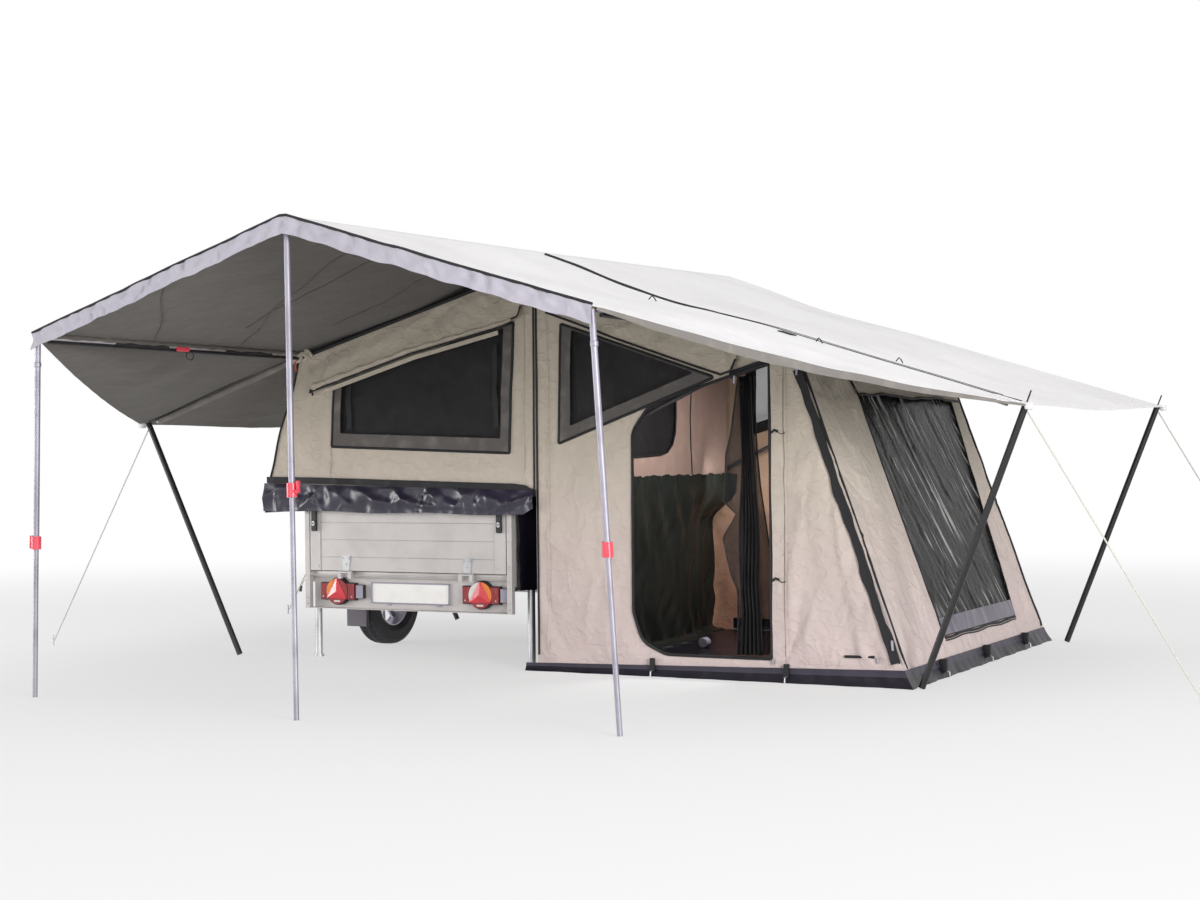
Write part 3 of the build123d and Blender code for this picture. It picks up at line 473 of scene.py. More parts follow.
class Finish(Enum):
    """The caravan's finishes, by what they are on."""

    CANVAS = Canvas("canvas_beige", (196, 186, 170), (214, 197, 194), crease=0.006)
    # the canvas's inner side, warmed to orange tan by painted light that shines through the cloth
    LINING_SUNLIT = Canvas("canvas_lining", (180, 152, 128), (176, 128, 104), 1.4)
    # lining of the right end wall in painted shade: darker and redder than the lining elsewhere
    LINING_IN_SHADE = Canvas("lining_in_shade", (150, 110, 98), (140, 98, 88))
    CABIN = Canvas("cabin_cloth", (170, 142, 130), (150, 124, 114))
    BORDER = Canvas("window_border", (94, 90, 88), (90, 87, 86), sheen=0.05)
    FLY_TOP = Canvas("fly_top", (236, 234, 236), (232, 229, 236), crease=0.003, roughness=0.62)
    HEM = Canvas("fly_hem", (126, 122, 118), (120, 116, 112), crease=0.002)
    FLY_UNDER = Canvas("fly_underside", (95, 91, 86), (87, 84, 78), crease=0.002, wear=0.03)
    # the fly sheet's cloth darkened to lilac grey for the hanging valance: painted shade
    VALANCE_SHADED = Canvas("valance_cloth", (182, 178, 190), (180, 176, 189), crease=0.003, roughness=0.6)
    TICKING = Canvas("mattress_ticking", (126, 128, 140), (110, 112, 122), pitch=0.006)
    PVC = Sheeting("pvc_charcoal", (38, 34, 50), (58, 53, 70), 0.32, 0.002, 9.0, gloss=0.6)
    PVC_STRIP = Sheeting("band_strip", (54, 50, 63), (68, 63, 77), 0.45, 0.002, gloss=0.3)
    PVC_DARK = Sheeting("pvc_black", (23, 20, 30), (33, 29, 42), roughness=0.34, gloss=0.2)
    CURTAIN = Sheeting("curtain_sheet", (39, 42, 39), (50, 53, 50), 0.4, 0.003, 7.0, gloss=0.07)
    PVC_GREY = Sheeting("pvc_grey", (98, 93, 106), (118, 112, 125), crumple=0.002, gloss=0.3)
    CLEAR = Sheeting("window_clear", (22, 22, 21), (36, 35, 33), 0.24, 0.003, 22.0, 0.95, 0.05, 0.6)
    NET = Netting("mesh_black", (15, 14, 17), 0.9)
    DOOR_NET = Netting("door_mesh", (22, 20, 24), 0.52)
    ALUMINIUM = Metal("aluminium", (194, 189, 187), (178, 173, 171), 0.46, 0.3)
    # darker strips for the tailgate's joints: painted shade in the grooves
    GROOVE_SHADE = Metal("groove_painted_shade", (176, 172, 170), (160, 156, 154), 0.5, 0.3)
    BAR_DARK = Metal("frame_bar", (74, 70, 72), (58, 55, 58), 0.5, 0.5, (40.0, 40.0, 1.0))
    ZINC = Metal("zinc", (196, 196, 198), (150, 150, 156), 0.4, 0.85)
    ALLOY = Metal("alloy", (196, 192, 204), (150, 146, 158), 0.35, 0.8)
    POLE = Metal("pole_aluminium", (158, 155, 166), (128, 125, 136), 0.46, 0.6, (40.0, 40.0, 1.0))
    BAR = Metal("bar_aluminium", (206, 200, 206), (150, 146, 152), 0.36, 0.8, (40.0, 1.0, 40.0))
    BLACK = Moulding("black_plastic", (30, 29, 32), (58, 56, 60))
    POLE_BLACK = Moulding("pole_black", (18, 17, 20), (36, 34, 38), 0.42)
    RUBBER = Moulding("rubber", (34, 32, 35), (66, 63, 66), 0.78, 0.0, 0.0006, 140.0)
    TYRE = Moulding("tyre_rubber", (50, 48, 52), (82, 78, 84), 0.66, 0.0, 0.0006, 120.0)
    TAPE = Moulding("black_tape", (15, 14, 18), (30, 28, 33), 0.7, 0.0, 0.0008, 320.0)
    RED = Moulding("clamp_red", (226, 62, 82), (240, 96, 112), 0.36, 0.4)
    LENS_RED = Moulding("lamp_red", (136, 8, 16), (160, 22, 28), 0.22, 0.8, 0.0006, 180.0)
    LENS_BRIGHT = Moulding("lamp_triangle", (206, 26, 46), (222, 48, 62), 0.22, 0.8, 0.0006, 180.0)
    LENS_AMBER = Moulding("lamp_amber", (226, 120, 34), (240, 158, 70), 0.22, 0.8, 0.0006, 180.0)
    LENS_CLEAR = Moulding("lamp_clear", (214, 208, 204), (236, 232, 228), 0.2, 0.8, 0.0006, 180.0)
    PLATE = Moulding("plate_white", (240, 238, 234), (226, 224, 222), 0.32, 0.3, 0.0001)
    HOLDER = Moulding("plate_holder", (152, 148, 163), (166, 162, 176), 0.45)
    KNOT = Canvas("tie_tape", (206, 92, 48), (206, 92, 48), pitch=0.006, crease=0.001)
    ROPE = Canvas("rope", (208, 204, 196), (208, 204, 196), pitch=0.006, crease=0.001)
    PLYWOOD = Timber("plywood", (150, 116, 84), (112, 82, 58))
    FLAP_GREY = Moulding("mud_flap", (118, 114, 121), (136, 132, 138), 0.7)

    @cache
    def material(self) -> bpy.types.Material:
        """The finish's material, built once."""
        return self.value.material()


def columns(*parts: float | Array) -> Array:
    """Points from their coordinates, a lone number standing for a whole column."""
    return np.stack(np.broadcast_arrays(*parts), axis=-1)


def blend(first: Array, second: Array, share: Array) -> Array:
    """Points between two rows of points, each at its own share of the way."""
    return first * (1 - share)[:, None] + second * share[:, None]


def distances(line: Sequence[Sequence[float]] | Array) -> Array:
    """Distance of each point of a line from its first, along the line."""
    return np.concatenate([[0.0], np.cumsum(np.linalg.norm(np.diff(line, axis=0), axis=1))])


def smooth_step(value: Array, low: float, high: float) -> Array:
    """Smooth rise from 0 at low to 1 at high."""
    share = np.clip((np.asarray(value, float) - low) / (high - low), 0.0, 1.0)
    return share * share * (3 - 2 * share)


def ripples(across: Array, along: Array, angle: float, wave: float, seed: float) -> Array:
    """Wandering folds in cloth.

    Args:
        across: First coordinate on the cloth.
        along: Second coordinate on the cloth.
        angle: Turn of the folds in degrees; 0 lets them run along the second coordinate.
        wave: Distance from fold to fold.
        seed: Picks one set of folds.

    Returns:
        Heights from -1 to 1.
    """
    turn = math.radians(angle)
    over = across * math.cos(turn) + along * math.sin(turn)
    run = along * math.cos(turn) - across * math.sin(turn)
    pitch = math.tau / wave
    sway = 1.6 * np.sin(run * pitch / 3.1 + seed) + 0.9 * np.sin(run * pitch / 6.7 + 2.3 * seed)
    swell = 0.55 + 0.45 * np.sin(run * pitch / 5.3 + 1.3 * seed) * np.sin(over * pitch / 4.1 + 0.7 * seed)
    return np.sin(over * pitch + sway + seed) * swell


def crumple(across: Array, along: Array, wave: float, seed: float) -> Array:
    """Sharp crossing creases, as in stiff coated sheet.

    Args:
        across: First coordinate on the cloth.
        along: Second coordinate on the cloth.
        wave: Distance from crease to crease.
        seed: Picks one set of creases.

    Returns:
        Heights from 0 to 1.
    """
    sets = ((28.0, 1.0, 0.0), (-41.0, 1.3, 2.0), (74.0, 0.8, 4.0))
    first, second, third = (np.abs(ripples(across, along, lean, wave * size, seed + step)) for lean, size, step in sets)
    return 1 - np.minimum(np.minimum(first, second) + 0.35 * third, 1.0)


def crease_lines(
    across: Array,
    along: Array,
    count: int,
    seed: int,
    lean: float,
    spread: float,
    width: float,
    length: float,
) -> Array:
    """Scattered single creases, each a short straight ridge or furrow.

    Args:
        across: First coordinate on the cloth.
        along: Second coordinate on the cloth.
        count: Number of creases over the points' box.
        seed: Picks one set of creases.
        lean: Mean turn of the creases in degrees; 0 lets them run along the second coordinate.
        spread: Largest turn away from that.
        width: Mean half width.
        length: Mean half length.

    Returns:
        Heights of about -1 to 1.
    """
    dice = np.random.default_rng(seed)
    low = np.array((across.min(), along.min()))
    high = np.array((across.max(), along.max()))
    total = np.zeros_like(across)
    for _ in range(count):
        middle = low + dice.random(2) * (high - low)
        turn = math.radians(lean + spread * (2 * dice.random() - 1))
        wide, long, tall = width * (0.6 + dice.random()), length * (0.5 + dice.random()), 2 * dice.random() - 1
        over = (across - middle[0]) * math.cos(turn) + (along - middle[1]) * math.sin(turn)
        run = (along - middle[1]) * math.cos(turn) - (across - middle[0]) * math.sin(turn)
        bend = over - 0.12 * run**2 / long
        total += tall * np.exp(-((bend / wide) ** 2) - (run / long) ** 2)
    return total


def crease_sets(across: Array, along: Array, frame: Flats, *sets: tuple[float, ...]) -> Array:
    """Creases worked out over one frame, so that they stay in place on every cut within it.

    Args:
        across: First coordinate on the cloth.
        along: Second coordinate on the cloth.
        frame: Two opposite corners of the frame.
        sets: For each set its height, then its numbers from count to length.

    Returns:
        Heights in metres.
    """
    x, y = np.concatenate([columns(across, along), frame]).T
    total = sum(tall * crease_lines(x, y, *numbers) for tall, *numbers in sets)
    return total[: len(across)]


def edge_distance(spots: Array, outline: Flats) -> Array:
    """Distance from flat points to an outline.

    Args:
        spots: The points.
        outline: Its corners in order.

    Returns:
        The distance from each point to the nearest side.
    """
    corners = np.asarray(outline, float)
    nearest = np.full(len(spots), np.inf)
    for start, end in zip(corners, np.roll(corners, -1, axis=0)):
        side = end - start
        share = np.clip((spots - start) @ side / max(side @ side, 1e-12), 0.0, 1.0)
        nearest = np.minimum(nearest, np.linalg.norm(spots - start - share[:, None] * side, axis=1))
    return nearest


def inside(spots: Array, outline: Flats) -> Array:
    """Find the flat points within an outline.

    Args:
        spots: The points.
        outline: Its corners in order.

    Returns:
        Whether each point lies within.
    """
    corners = np.asarray(outline, float)
    found = np.zeros(len(spots), bool)
    for (ax, ay), (bx, by) in zip(corners, np.roll(corners, -1, axis=0)):
        crosses = (ay > spots[:, 1]) != (by > spots[:, 1])
        meet = (bx - ax) * (spots[:, 1] - ay) / (by - ay + NO_ZERO) + ax
        found ^= crosses & (spots[:, 0] < meet)
    return found


def rounded(outline: Flats, radius: float | Sequence[float], steps: int = 5) -> list[Flat]:
    """Round the corners of a flat outline.

    Args:
        outline: The corners in order.
        radius: One radius, or one for each corner.
        steps: Points along each corner.

    Returns:
        The rounded outline.
    """
    corners = np.asarray(outline, float)
    radii = np.broadcast_to(np.asarray(radius, float), (len(corners),))
    made: list[Flat] = []
    for before, corner, after, size in zip(np.roll(corners, 1, 0), corners, np.roll(corners, -1, 0), radii):
        back, ahead = before - corner, after - corner
        back_length, ahead_length = np.linalg.norm(back), np.linalg.norm(ahead)
        cosine = np.clip(back @ ahead / (back_length * ahead_length), -1.0, 1.0)
        reach = min(size / math.tan(math.acos(cosine) / 2), back_length / 2, ahead_length / 2)
        start, end = corner + back / back_length * reach, corner + ahead / ahead_length * reach
        for share in np.linspace(0, 1, steps):
            spot = (1 - share) ** 2 * start + 2 * share * (1 - share) * corner + share**2 * end
            made.append((float(spot[0]), float(spot[1])))
    return made


def flat_area(outline: Flats) -> float:
    """Area of a flat outline, positive where its corners run anticlockwise."""
    x, y = np.asarray(outline, float).T
    return float(np.sum(x * np.roll(y, -1) - np.roll(x, -1) * y)) / 2


def shrink(outline: Flats, depth: float | Sequence[float]) -> list[Flat]:
    """Move the sides of an outline inward, its corners staying sharp.

    Args:
        outline: The corners in order.
        depth: One depth, or one for each side, the first from the first corner to the second.

    Returns:
        The moved corners.
    """
    corners = np.asarray(outline, float)
    depths = np.broadcast_to(np.asarray(depth, float), (len(corners),))
    sides = np.roll(corners, -1, 0) - corners
    sides /= np.linalg.norm(sides, axis=1)[:, None]
    normals = columns(-sides[:, 1], sides[:, 0]) * math.copysign(1.0, flat_area(outline))
    made: list[Flat] = []
    for number, corner in enumerate(corners):
        pair = np.stack([normals[number - 1], normals[number]])
        move = np.linalg.solve(pair, np.array((depths[number - 1], depths[number])))
        made.append((float(corner[0] + move[0]), float(corner[1] + move[1])))
    return made


def along_line(line: Sequence[Sequence[float]], shares: Array) -> Array:
    """Points at these shares of a polyline's length."""
    corners, run = np.asarray(line, float), distances(line)
    return columns(*(np.interp(shares * run[-1], run, column) for column in corners.T))


@dataclass(frozen=True)
class Opening:
    """An opening in cloth: its corners, how far they are rounded, and its border's width at each side."""

    corners: tuple[Flat, ...]
    radius: float | tuple[float, ...] = 0.03
    border: float | tuple[float, ...] = 0.056

    def edge(self, depth: float | tuple[float, ...] = 0.0) -> list[Flat]:
        """Outline moved inward by a depth."""
        return rounded(shrink(self.corners, depth), self.radius)

    def seam(self, depth: float | tuple[float, ...]) -> list[Flat]:
        """Outline of a sewn edge, with nearly sharp corners."""
        return rounded(shrink(self.corners, depth), 0.008)

    def mirrored(self) -> "Opening":
        """The same opening in a wall that faces the other way."""
        return Opening(tuple((-x, z) for x, z in reversed(self.corners)), self.radius)


def resample(line: Sequence[Sequence[float]], spacing: float, closed: bool = False) -> Array:
    """Even points along a polyline, its corners kept.

    Args:
        line: The polyline's points.
        spacing: Largest distance between points.
        closed: Whether the last point joins the first.

    Returns:
        The points, without a repeat of the first on a closed line.
    """
    corners = [np.asarray(corner, float) for corner in line]
    ends = corners[1:] + corners[:1] if closed else corners[1:]
    made: list[Array] = []
    for start, end in zip(corners, ends):
        count = max(1, math.ceil(np.linalg.norm(end - start) / spacing))
        made.extend(start + (end - start) * step / count for step in range(count))
    if not closed:
        made.append(corners[-1])
    return np.array(made)


def tangents(path: Array, closed: bool) -> Array:
    """Unit direction of a path at each of its points.

    Args:
        path: The points.
        closed: Whether the last point joins the first.

    Returns:
        The directions.
    """
    ahead = np.roll(path, -1, 0) - np.roll(path, 1, 0)
    if not closed:
        ahead[0], ahead[-1] = path[1] - path[0], path[-1] - path[-2]
    return ahead / (np.linalg.norm(ahead, axis=1)[:, None] + NO_ZERO)


def square_to(way: Array) -> Array:
    """A direction square to this one, level where that can be."""
    return np.cross(way, UP if abs(way[2]) < 0.9 else (1.0, 0.0, 0.0))


def circle(centre: Array, way: Array, aside: Array, radius: float, sides: int) -> list[Array]:
    """Points round a centre.

    Args:
        centre: The centre.
        way: Direction of the axis.
        aside: Direction of the first point.
        radius: Its radius.
        sides: Number of points.

    Returns:
        The points, turning from aside.
    """
    other = np.cross(way, aside)
    turns = [math.tau * step / sides for step in range(sides)]
    return [centre + (aside * math.cos(turn) + other * math.sin(turn)) * radius for turn in turns]


@dataclass
class Skin:
    """A cloth surface before it gets its thickness."""

    points: Array
    faces: list[tuple[int, ...]]

    @classmethod
    def grid(cls, rows: Sequence[Array] | Array, flip: bool = False) -> "Skin":
        """Join rows of points into quads.

        Args:
            rows: Rows of as many points each.
            flip: Turn the faces to the other side.

        Returns:
            The skin, with points that coincide welded.
        """
        rows = np.asarray(rows)
        count, width = rows.shape[:2]
        corner = (np.arange(count - 1)[:, None] * width + np.arange(width - 1)).ravel()
        quads = columns(corner, corner + 1, corner + width + 1, corner + width)
        faces = [tuple(quad) for quad in (quads[:, ::-1] if flip else quads).tolist()]
        return cls(rows.reshape(-1, 3), faces).welded()

    def welded(self) -> "Skin":
        """Merge points that coincide and drop faces that vanish.

        Returns:
            The welded skin.
        """
        keys: dict[tuple[float, ...], int] = {}
        joined = [keys.setdefault(tuple(np.round(point, 6)), len(keys)) for point in self.points]
        points = np.zeros((len(keys), 3))
        points[joined] = self.points
        faces = []
        for face in self.faces:
            corners = list(dict.fromkeys(joined[corner] for corner in face))
            if len(corners) > 2:
                faces.append(tuple(corners))
        return Skin(points, faces)

    def normals(self) -> Array:
        """Average the faces' normals.

        Returns:
            The unit normal at each point.
        """
        total = np.zeros_like(self.points)
        for face in self.faces:
            first, second, third = (self.points[face[turn]] for turn in (0, 1, 2))
            normal = np.cross(second - first, third - first)
            for corner in face:
                total[corner] += normal
        return total / (np.linalg.norm(total, axis=1)[:, None] + NO_ZERO)

    def rim(self) -> list[tuple[int, int]]:
        """Find the edges that only one face has.

        Returns:
            The ends of each edge, in its face's order.
        """
        edges: dict[frozenset[int], list[tuple[int, int]]] = {}
        for face in self.faces:
            for start, end in zip(face, face[1:] + face[:1]):
                edges.setdefault(frozenset((start, end)), []).append((start, end))
        return [users[0] for users in edges.values() if len(users) == 1]


@dataclass
class Shape:
    """Points and faces of one piece, gathered before it becomes an object."""

    points: list[Point] = field(default_factory=list)
    faces: list[tuple[int, ...]] = field(default_factory=list)
    slots: list[int] = field(default_factory=list)

    def take(self, points: Iterable[Sequence[float]], faces: Iterable[Sequence[int]], slot: int = 0) -> None:
        """Add points and the faces on them.

        Args:
            points: Places in the maker's frame.
            faces: Corners of each face, counted from the first of these points.
            slot: Place of the faces' finish in the piece's list.
        """
        base = len(self.points)
        self.points.extend((float(x), float(y), float(z)) for x, y, z in points)
        added = [tuple(base + corner for corner in face) for face in faces]
        self.faces.extend(added)
        self.slots.extend([slot] * len(added))

    def cloth(self, skin: Skin, thickness: float = 0.002, outer: int = 0, inner: int = 0) -> "Shape":
        """Add a skin as a thin closed layer below its faces.

        Args:
            skin: The outer surface.
            thickness: Depth of the layer.
            outer: Finish of the outer side and the rim.
            inner: Finish of the inner side.

        Returns:
            This shape.
        """
        count = len(skin.points)
        both = np.concatenate([skin.points, skin.points - skin.normals() * thickness])
        back = [tuple(corner + count for corner in reversed(face)) for face in skin.faces]
        edge = [(end, start, start + count, end + count) for start, end in skin.rim()]
        base = len(self.slots)
        self.take(both, list(skin.faces) + edge + back, outer)
        self.slots[base + len(skin.faces) + len(edge) :] = [inner] * len(back)
        return self

    def tube(
        self, path: Array, radius: float | Array, sides: int = 10, slot: int = 0, closed: bool = False
    ) -> "Shape":
        """Add a round bar along a path.

        Args:
            path: Points of its middle line.
            radius: One radius, or one for each point.
            sides: Facets round it.
            slot: Place of its finish.
            closed: Whether the path joins up.

        Returns:
            This shape.
        """
        path = np.asarray(path, float)
        radii = np.broadcast_to(np.asarray(radius, float), (len(path),))
        ahead = tangents(path, closed)
        aside = square_to(ahead[0])
        rings = []
        for spot, way, size in zip(path, ahead, radii):
            aside = aside - way * (aside @ way)
            aside = aside / np.linalg.norm(aside)
            rings.append(circle(spot, way, aside, size, sides))
        return self.loft(np.array(rings), slot, closed)

    def loft(self, rings: Array, slot: int = 0, joined: bool = False) -> "Shape":
        """Skin a row of rings.

        Args:
            rings: Points as an array of rings by points by three.
            slot: Place of its finish.
            joined: Whether the last ring meets the first; otherwise both ends are capped.

        Returns:
            This shape.
        """
        count, sides = rings.shape[:2]
        faces = []
        for ring in range(count if joined else count - 1):
            near, far = ring * sides, (ring + 1) % count * sides
            for side in range(sides):
                after = (side + 1) % sides
                faces.append((near + side, near + after, far + after, far + side))
        if not joined:
            faces.append(tuple(reversed(range(sides))))
            faces.append(tuple((count - 1) * sides + side for side in range(sides)))
        self.take(rings.reshape(-1, 3), faces, slot)
        return self

    def block(self, low: Point, high: Point, bevel: float = 0.002, slot: int = 0) -> "Shape":
        """Add a box with rounded edges.

        Args:
            low: Lowest corner.
            high: Highest corner.
            bevel: Width of the rounding.
            slot: Place of its finish.

        Returns:
            This shape.
        """
        mesh = bmesh.new()
        bmesh.ops.create_cube(mesh, size=1.0)
        low_corner, high_corner = np.asarray(low, float), np.asarray(high, float)
        bevel = min(bevel, float((high_corner - low_corner).min()) * 0.45)
        for vert in mesh.verts:
            vert.co = Vector((low_corner + high_corner) / 2 + (high_corner - low_corner) * np.array(vert.co))
        bmesh.ops.bevel(mesh, geom=list(mesh.edges), offset=bevel, segments=2, profile=0.5, affect="EDGES")
        mesh.verts.index_update()
        corners = [[vert.index for vert in face.verts] for face in mesh.faces]
        self.take([tuple(vert.co) for vert in mesh.verts], corners, slot)
        mesh.free()
        return self

    def lathe(
        self, profile: Flats, centre: Point, axis: Point, sides: int = 24, slot: int = 0
    ) -> "Shape":
        """Add a turned form.

        Args:
            profile: Radius and distance along the axis, from one end to the other.
            centre: Where the distance is 0.
            axis: Direction of the axis.
            sides: Facets round it.
            slot: Place of its finish.

        Returns:
            This shape.
        """
        way = np.asarray(axis, float) / np.linalg.norm(axis)
        path = [np.asarray(centre, float) + way * distance for _, distance in profile]
        aside = square_to(way)
        aside /= np.linalg.norm(aside)
        rings = [circle(spot, way, aside, max(radius, LEAST_RADIUS), sides) for (radius, _), spot in zip(profile, path)]
        return self.loft(np.array(rings), slot)


@dataclass
class Site:
    """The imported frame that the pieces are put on."""

    nodes: dict[str, bpy.types.Object]
    shift: Array

    def dress(self, finish: Finish, *nodes: str) -> None:
        """Give CAD nodes a finish.

        Args:
            finish: The finish.
            nodes: The nodes' names.
        """
        for node in nodes:
            slots = self.nodes[node].data.materials
            slots.clear()
            slots.append(finish.material())
            LOG.info("%s: %s", node, finish.name.lower())


@dataclass
class Assembly:
    """A sub-assembly whose pieces are put on the site."""

    site: Site

    def build(self) -> None:
        """Make its pieces."""
        raise NotImplementedError

    def put(
        self,
        shape: Shape,
        name: str,
        finishes: Sequence[Finish],
        body: str = "trailer",
        slot: str = "canvas",
        nodes: Sequence[str] = (),
        angle: float = 40.0,
    ) -> bpy.types.Object:
        """Make an object of a shape and let it ride on a body.

        Args:
            shape: Its points and faces in the maker's frame.
            name: Its name.
            finishes: Its finishes, in the order of the shape's slots.
            body: The body it moves with.
            slot: The record's material slot; not used.
            nodes: Nodes that it stands for.
            angle: Edges sharper than this many degrees stay sharp.

        Returns:
            The object.
        """
        mesh = bpy.data.meshes.new(name)
        places = np.asarray(shape.points) + self.site.shift
        mesh.from_pydata(places.tolist(), [], shape.faces)
        for finish in finishes:
            mesh.materials.append(finish.material())
        mesh.polygons.foreach_set("material_index", shape.slots)
        mesh.polygons.foreach_set("use_smooth", [True] * len(shape.faces))
        mesh.set_sharp_from_angle(angle=math.radians(angle))
        mesh.update()
        piece = bpy.data.objects.new(name, mesh)
        bpy.context.scene.collection.objects.link(piece)
        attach(piece, body)
        if nodes:
            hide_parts(*nodes)
        LOG.info("%s: %d faces on %s", name, len(shape.faces), body)
        return piece


@dataclass
class Wall:
    """A cut of cloth with openings, stretched in a plane and puckered."""

    origin: Point
    right: Point
    up: Point
    outline: Flats
    holes: Sequence[Flats] = ()
    relief: Relief = lambda across, along: np.zeros_like(across)
    spacing: float = 0.02
    calm: float = 0.07
    row_share: float = 0.87
    edge_share: float = 0.6

    def at(self, spots: Flats | Array, lift: float | Array = 0.0) -> Array:
        """Places on the cloth.

        Args:
            spots: Flat points on it.
            lift: Height above its outer face.

        Returns:
            The places in the maker's frame.
        """
        flat = np.asarray(spots, float)
        right, up = np.asarray(self.right, float), np.asarray(self.up, float)
        out = np.cross(right, up)
        proud = self.height(flat) + lift
        return np.asarray(self.origin) + flat[:, :1] * right + flat[:, 1:] * up + proud[:, None] * out

    def height(self, flat: Array) -> Array:
        """Relief, fading out at the sewn edges and low round the openings.

        Args:
            flat: Flat points on the cloth.

        Returns:
            The height at each point.
        """
        ease = smooth_step(edge_distance(flat, self.outline), 0.0, self.calm)
        for hole in self.holes:
            ease *= 0.2 + 0.8 * smooth_step(edge_distance(flat, hole), 0.0, 0.12)
        return self.relief(flat[:, 0], flat[:, 1]) * ease

    def within(self, spots: Array) -> Array:
        """Find the flat points on the cloth, outside its openings.

        Args:
            spots: The points.

        Returns:
            Whether each point is on the cloth.
        """
        found = inside(spots, self.outline)
        for hole in self.holes:
            found &= ~inside(spots, hole)
        return found

    def skin(self, lift: float = 0.0) -> Skin:
        """Mesh the cut between its outline and its openings.

        Args:
            lift: Height above the outer face.

        Returns:
            The skin, facing outward.
        """
        loops = [resample(loop, self.spacing, True) for loop in (self.outline, *self.holes)]
        low, high = loops[0].min(0), loops[0].max(0)
        across = np.arange(low[0], high[0], self.spacing)
        rows = []
        for number, along in enumerate(np.arange(low[1], high[1], self.spacing * self.row_share)):
            offset = self.spacing / 2 * (number % 2)
            rows.append(columns(across + offset, along))
        lattice = np.concatenate(rows)
        keep = self.within(lattice)
        for loop in (self.outline, *self.holes):
            keep &= edge_distance(lattice, loop) > self.spacing * self.edge_share
        edges: list[tuple[int, int]] = []
        base = 0
        for loop in loops:
            edges.extend((base + step, base + (step + 1) % len(loop)) for step in range(len(loop)))
            base += len(loop)
        spots = np.concatenate([*loops, lattice[keep]])
        cut = geometry.delaunay_2d_cdt([Vector(spot) for spot in spots], edges, [], 0, TOUCH)
        flat = np.array([tuple(vert) for vert in cut[0]])
        middles = np.array([flat[list(face)].mean(0) for face in cut[2]])
        faces = [tuple(face) for face, wanted in zip(cut[2], self.within(middles)) if wanted]
        used = sorted({corner for face in faces for corner in face})
        place = {corner: number for number, corner in enumerate(used)}
        kept = [tuple(place[corner] for corner in face) for face in faces]
        return Skin(self.at(flat[used], lift), kept)

    def ribbon(
        self,
        shape: Shape,
        line: Flats,
        width: float | Callable[[Array], Array],
        lift: float = 0.002,
        slot: int = 0,
        closed: bool = False,
        thickness: float = 0.002,
    ) -> None:
        """Lay a tape on the cloth along a line.

        Args:
            shape: The shape it is added to.
            line: Flat points of its middle line.
            width: Its width, or a function of the distance along it.
            lift: Height of its face above the cloth.
            slot: Place of its finish.
            closed: Whether the line joins up.
            thickness: Its thickness.
        """
        spots = resample(line, 0.02, closed)
        step = tangents(spots, closed)
        aside = columns(step[:, 1], -step[:, 0])
        run = distances(spots)
        half = (width(run) if callable(width) else np.full(len(run), width)) / 2
        rows = [self.at(spots + aside * half[:, None] * share, lift) for share in (-1.0, 0.0, 1.0)]
        if closed:
            rows = [np.concatenate([row, row[:1]]) for row in rows]
        shape.cloth(Skin.grid(rows), thickness, slot, slot)

    def piping(
        self, shape: Shape, line: Flats, radius: float, lift: float = 0.0, slot: int = 0, closed: bool = False
    ) -> None:
        """Sew a round edge on the cloth along a line."""
        shape.tube(self.at(resample(line, 0.025, closed), lift), radius, 8, slot, closed)

    def border(self, shape: Shape, outer: Flats, inner: Flats, lift: float, slot: int = 0) -> None:
        """Lay a flat frame of cloth between two outlines.

        Args:
            shape: The shape it is added to.
            outer: The outer outline.
            inner: The inner outline, of as many points.
            lift: Height of its face above the cloth.
            slot: Place of its finish.
        """
        pairs = np.concatenate([np.asarray(outer, float), np.asarray(inner, float)], axis=1)
        pairs = resample(pairs, 0.025, True)
        outer, inner = pairs[:, :2], pairs[:, 2:]
        rings = []
        for share in (0.0, 0.5, 1.0):
            ring = outer + (inner - outer) * share
            rings.append(self.at(np.concatenate([ring, ring[:1]]), lift))
        shape.cloth(Skin.grid(rings, flip=True), outer=slot, inner=slot)


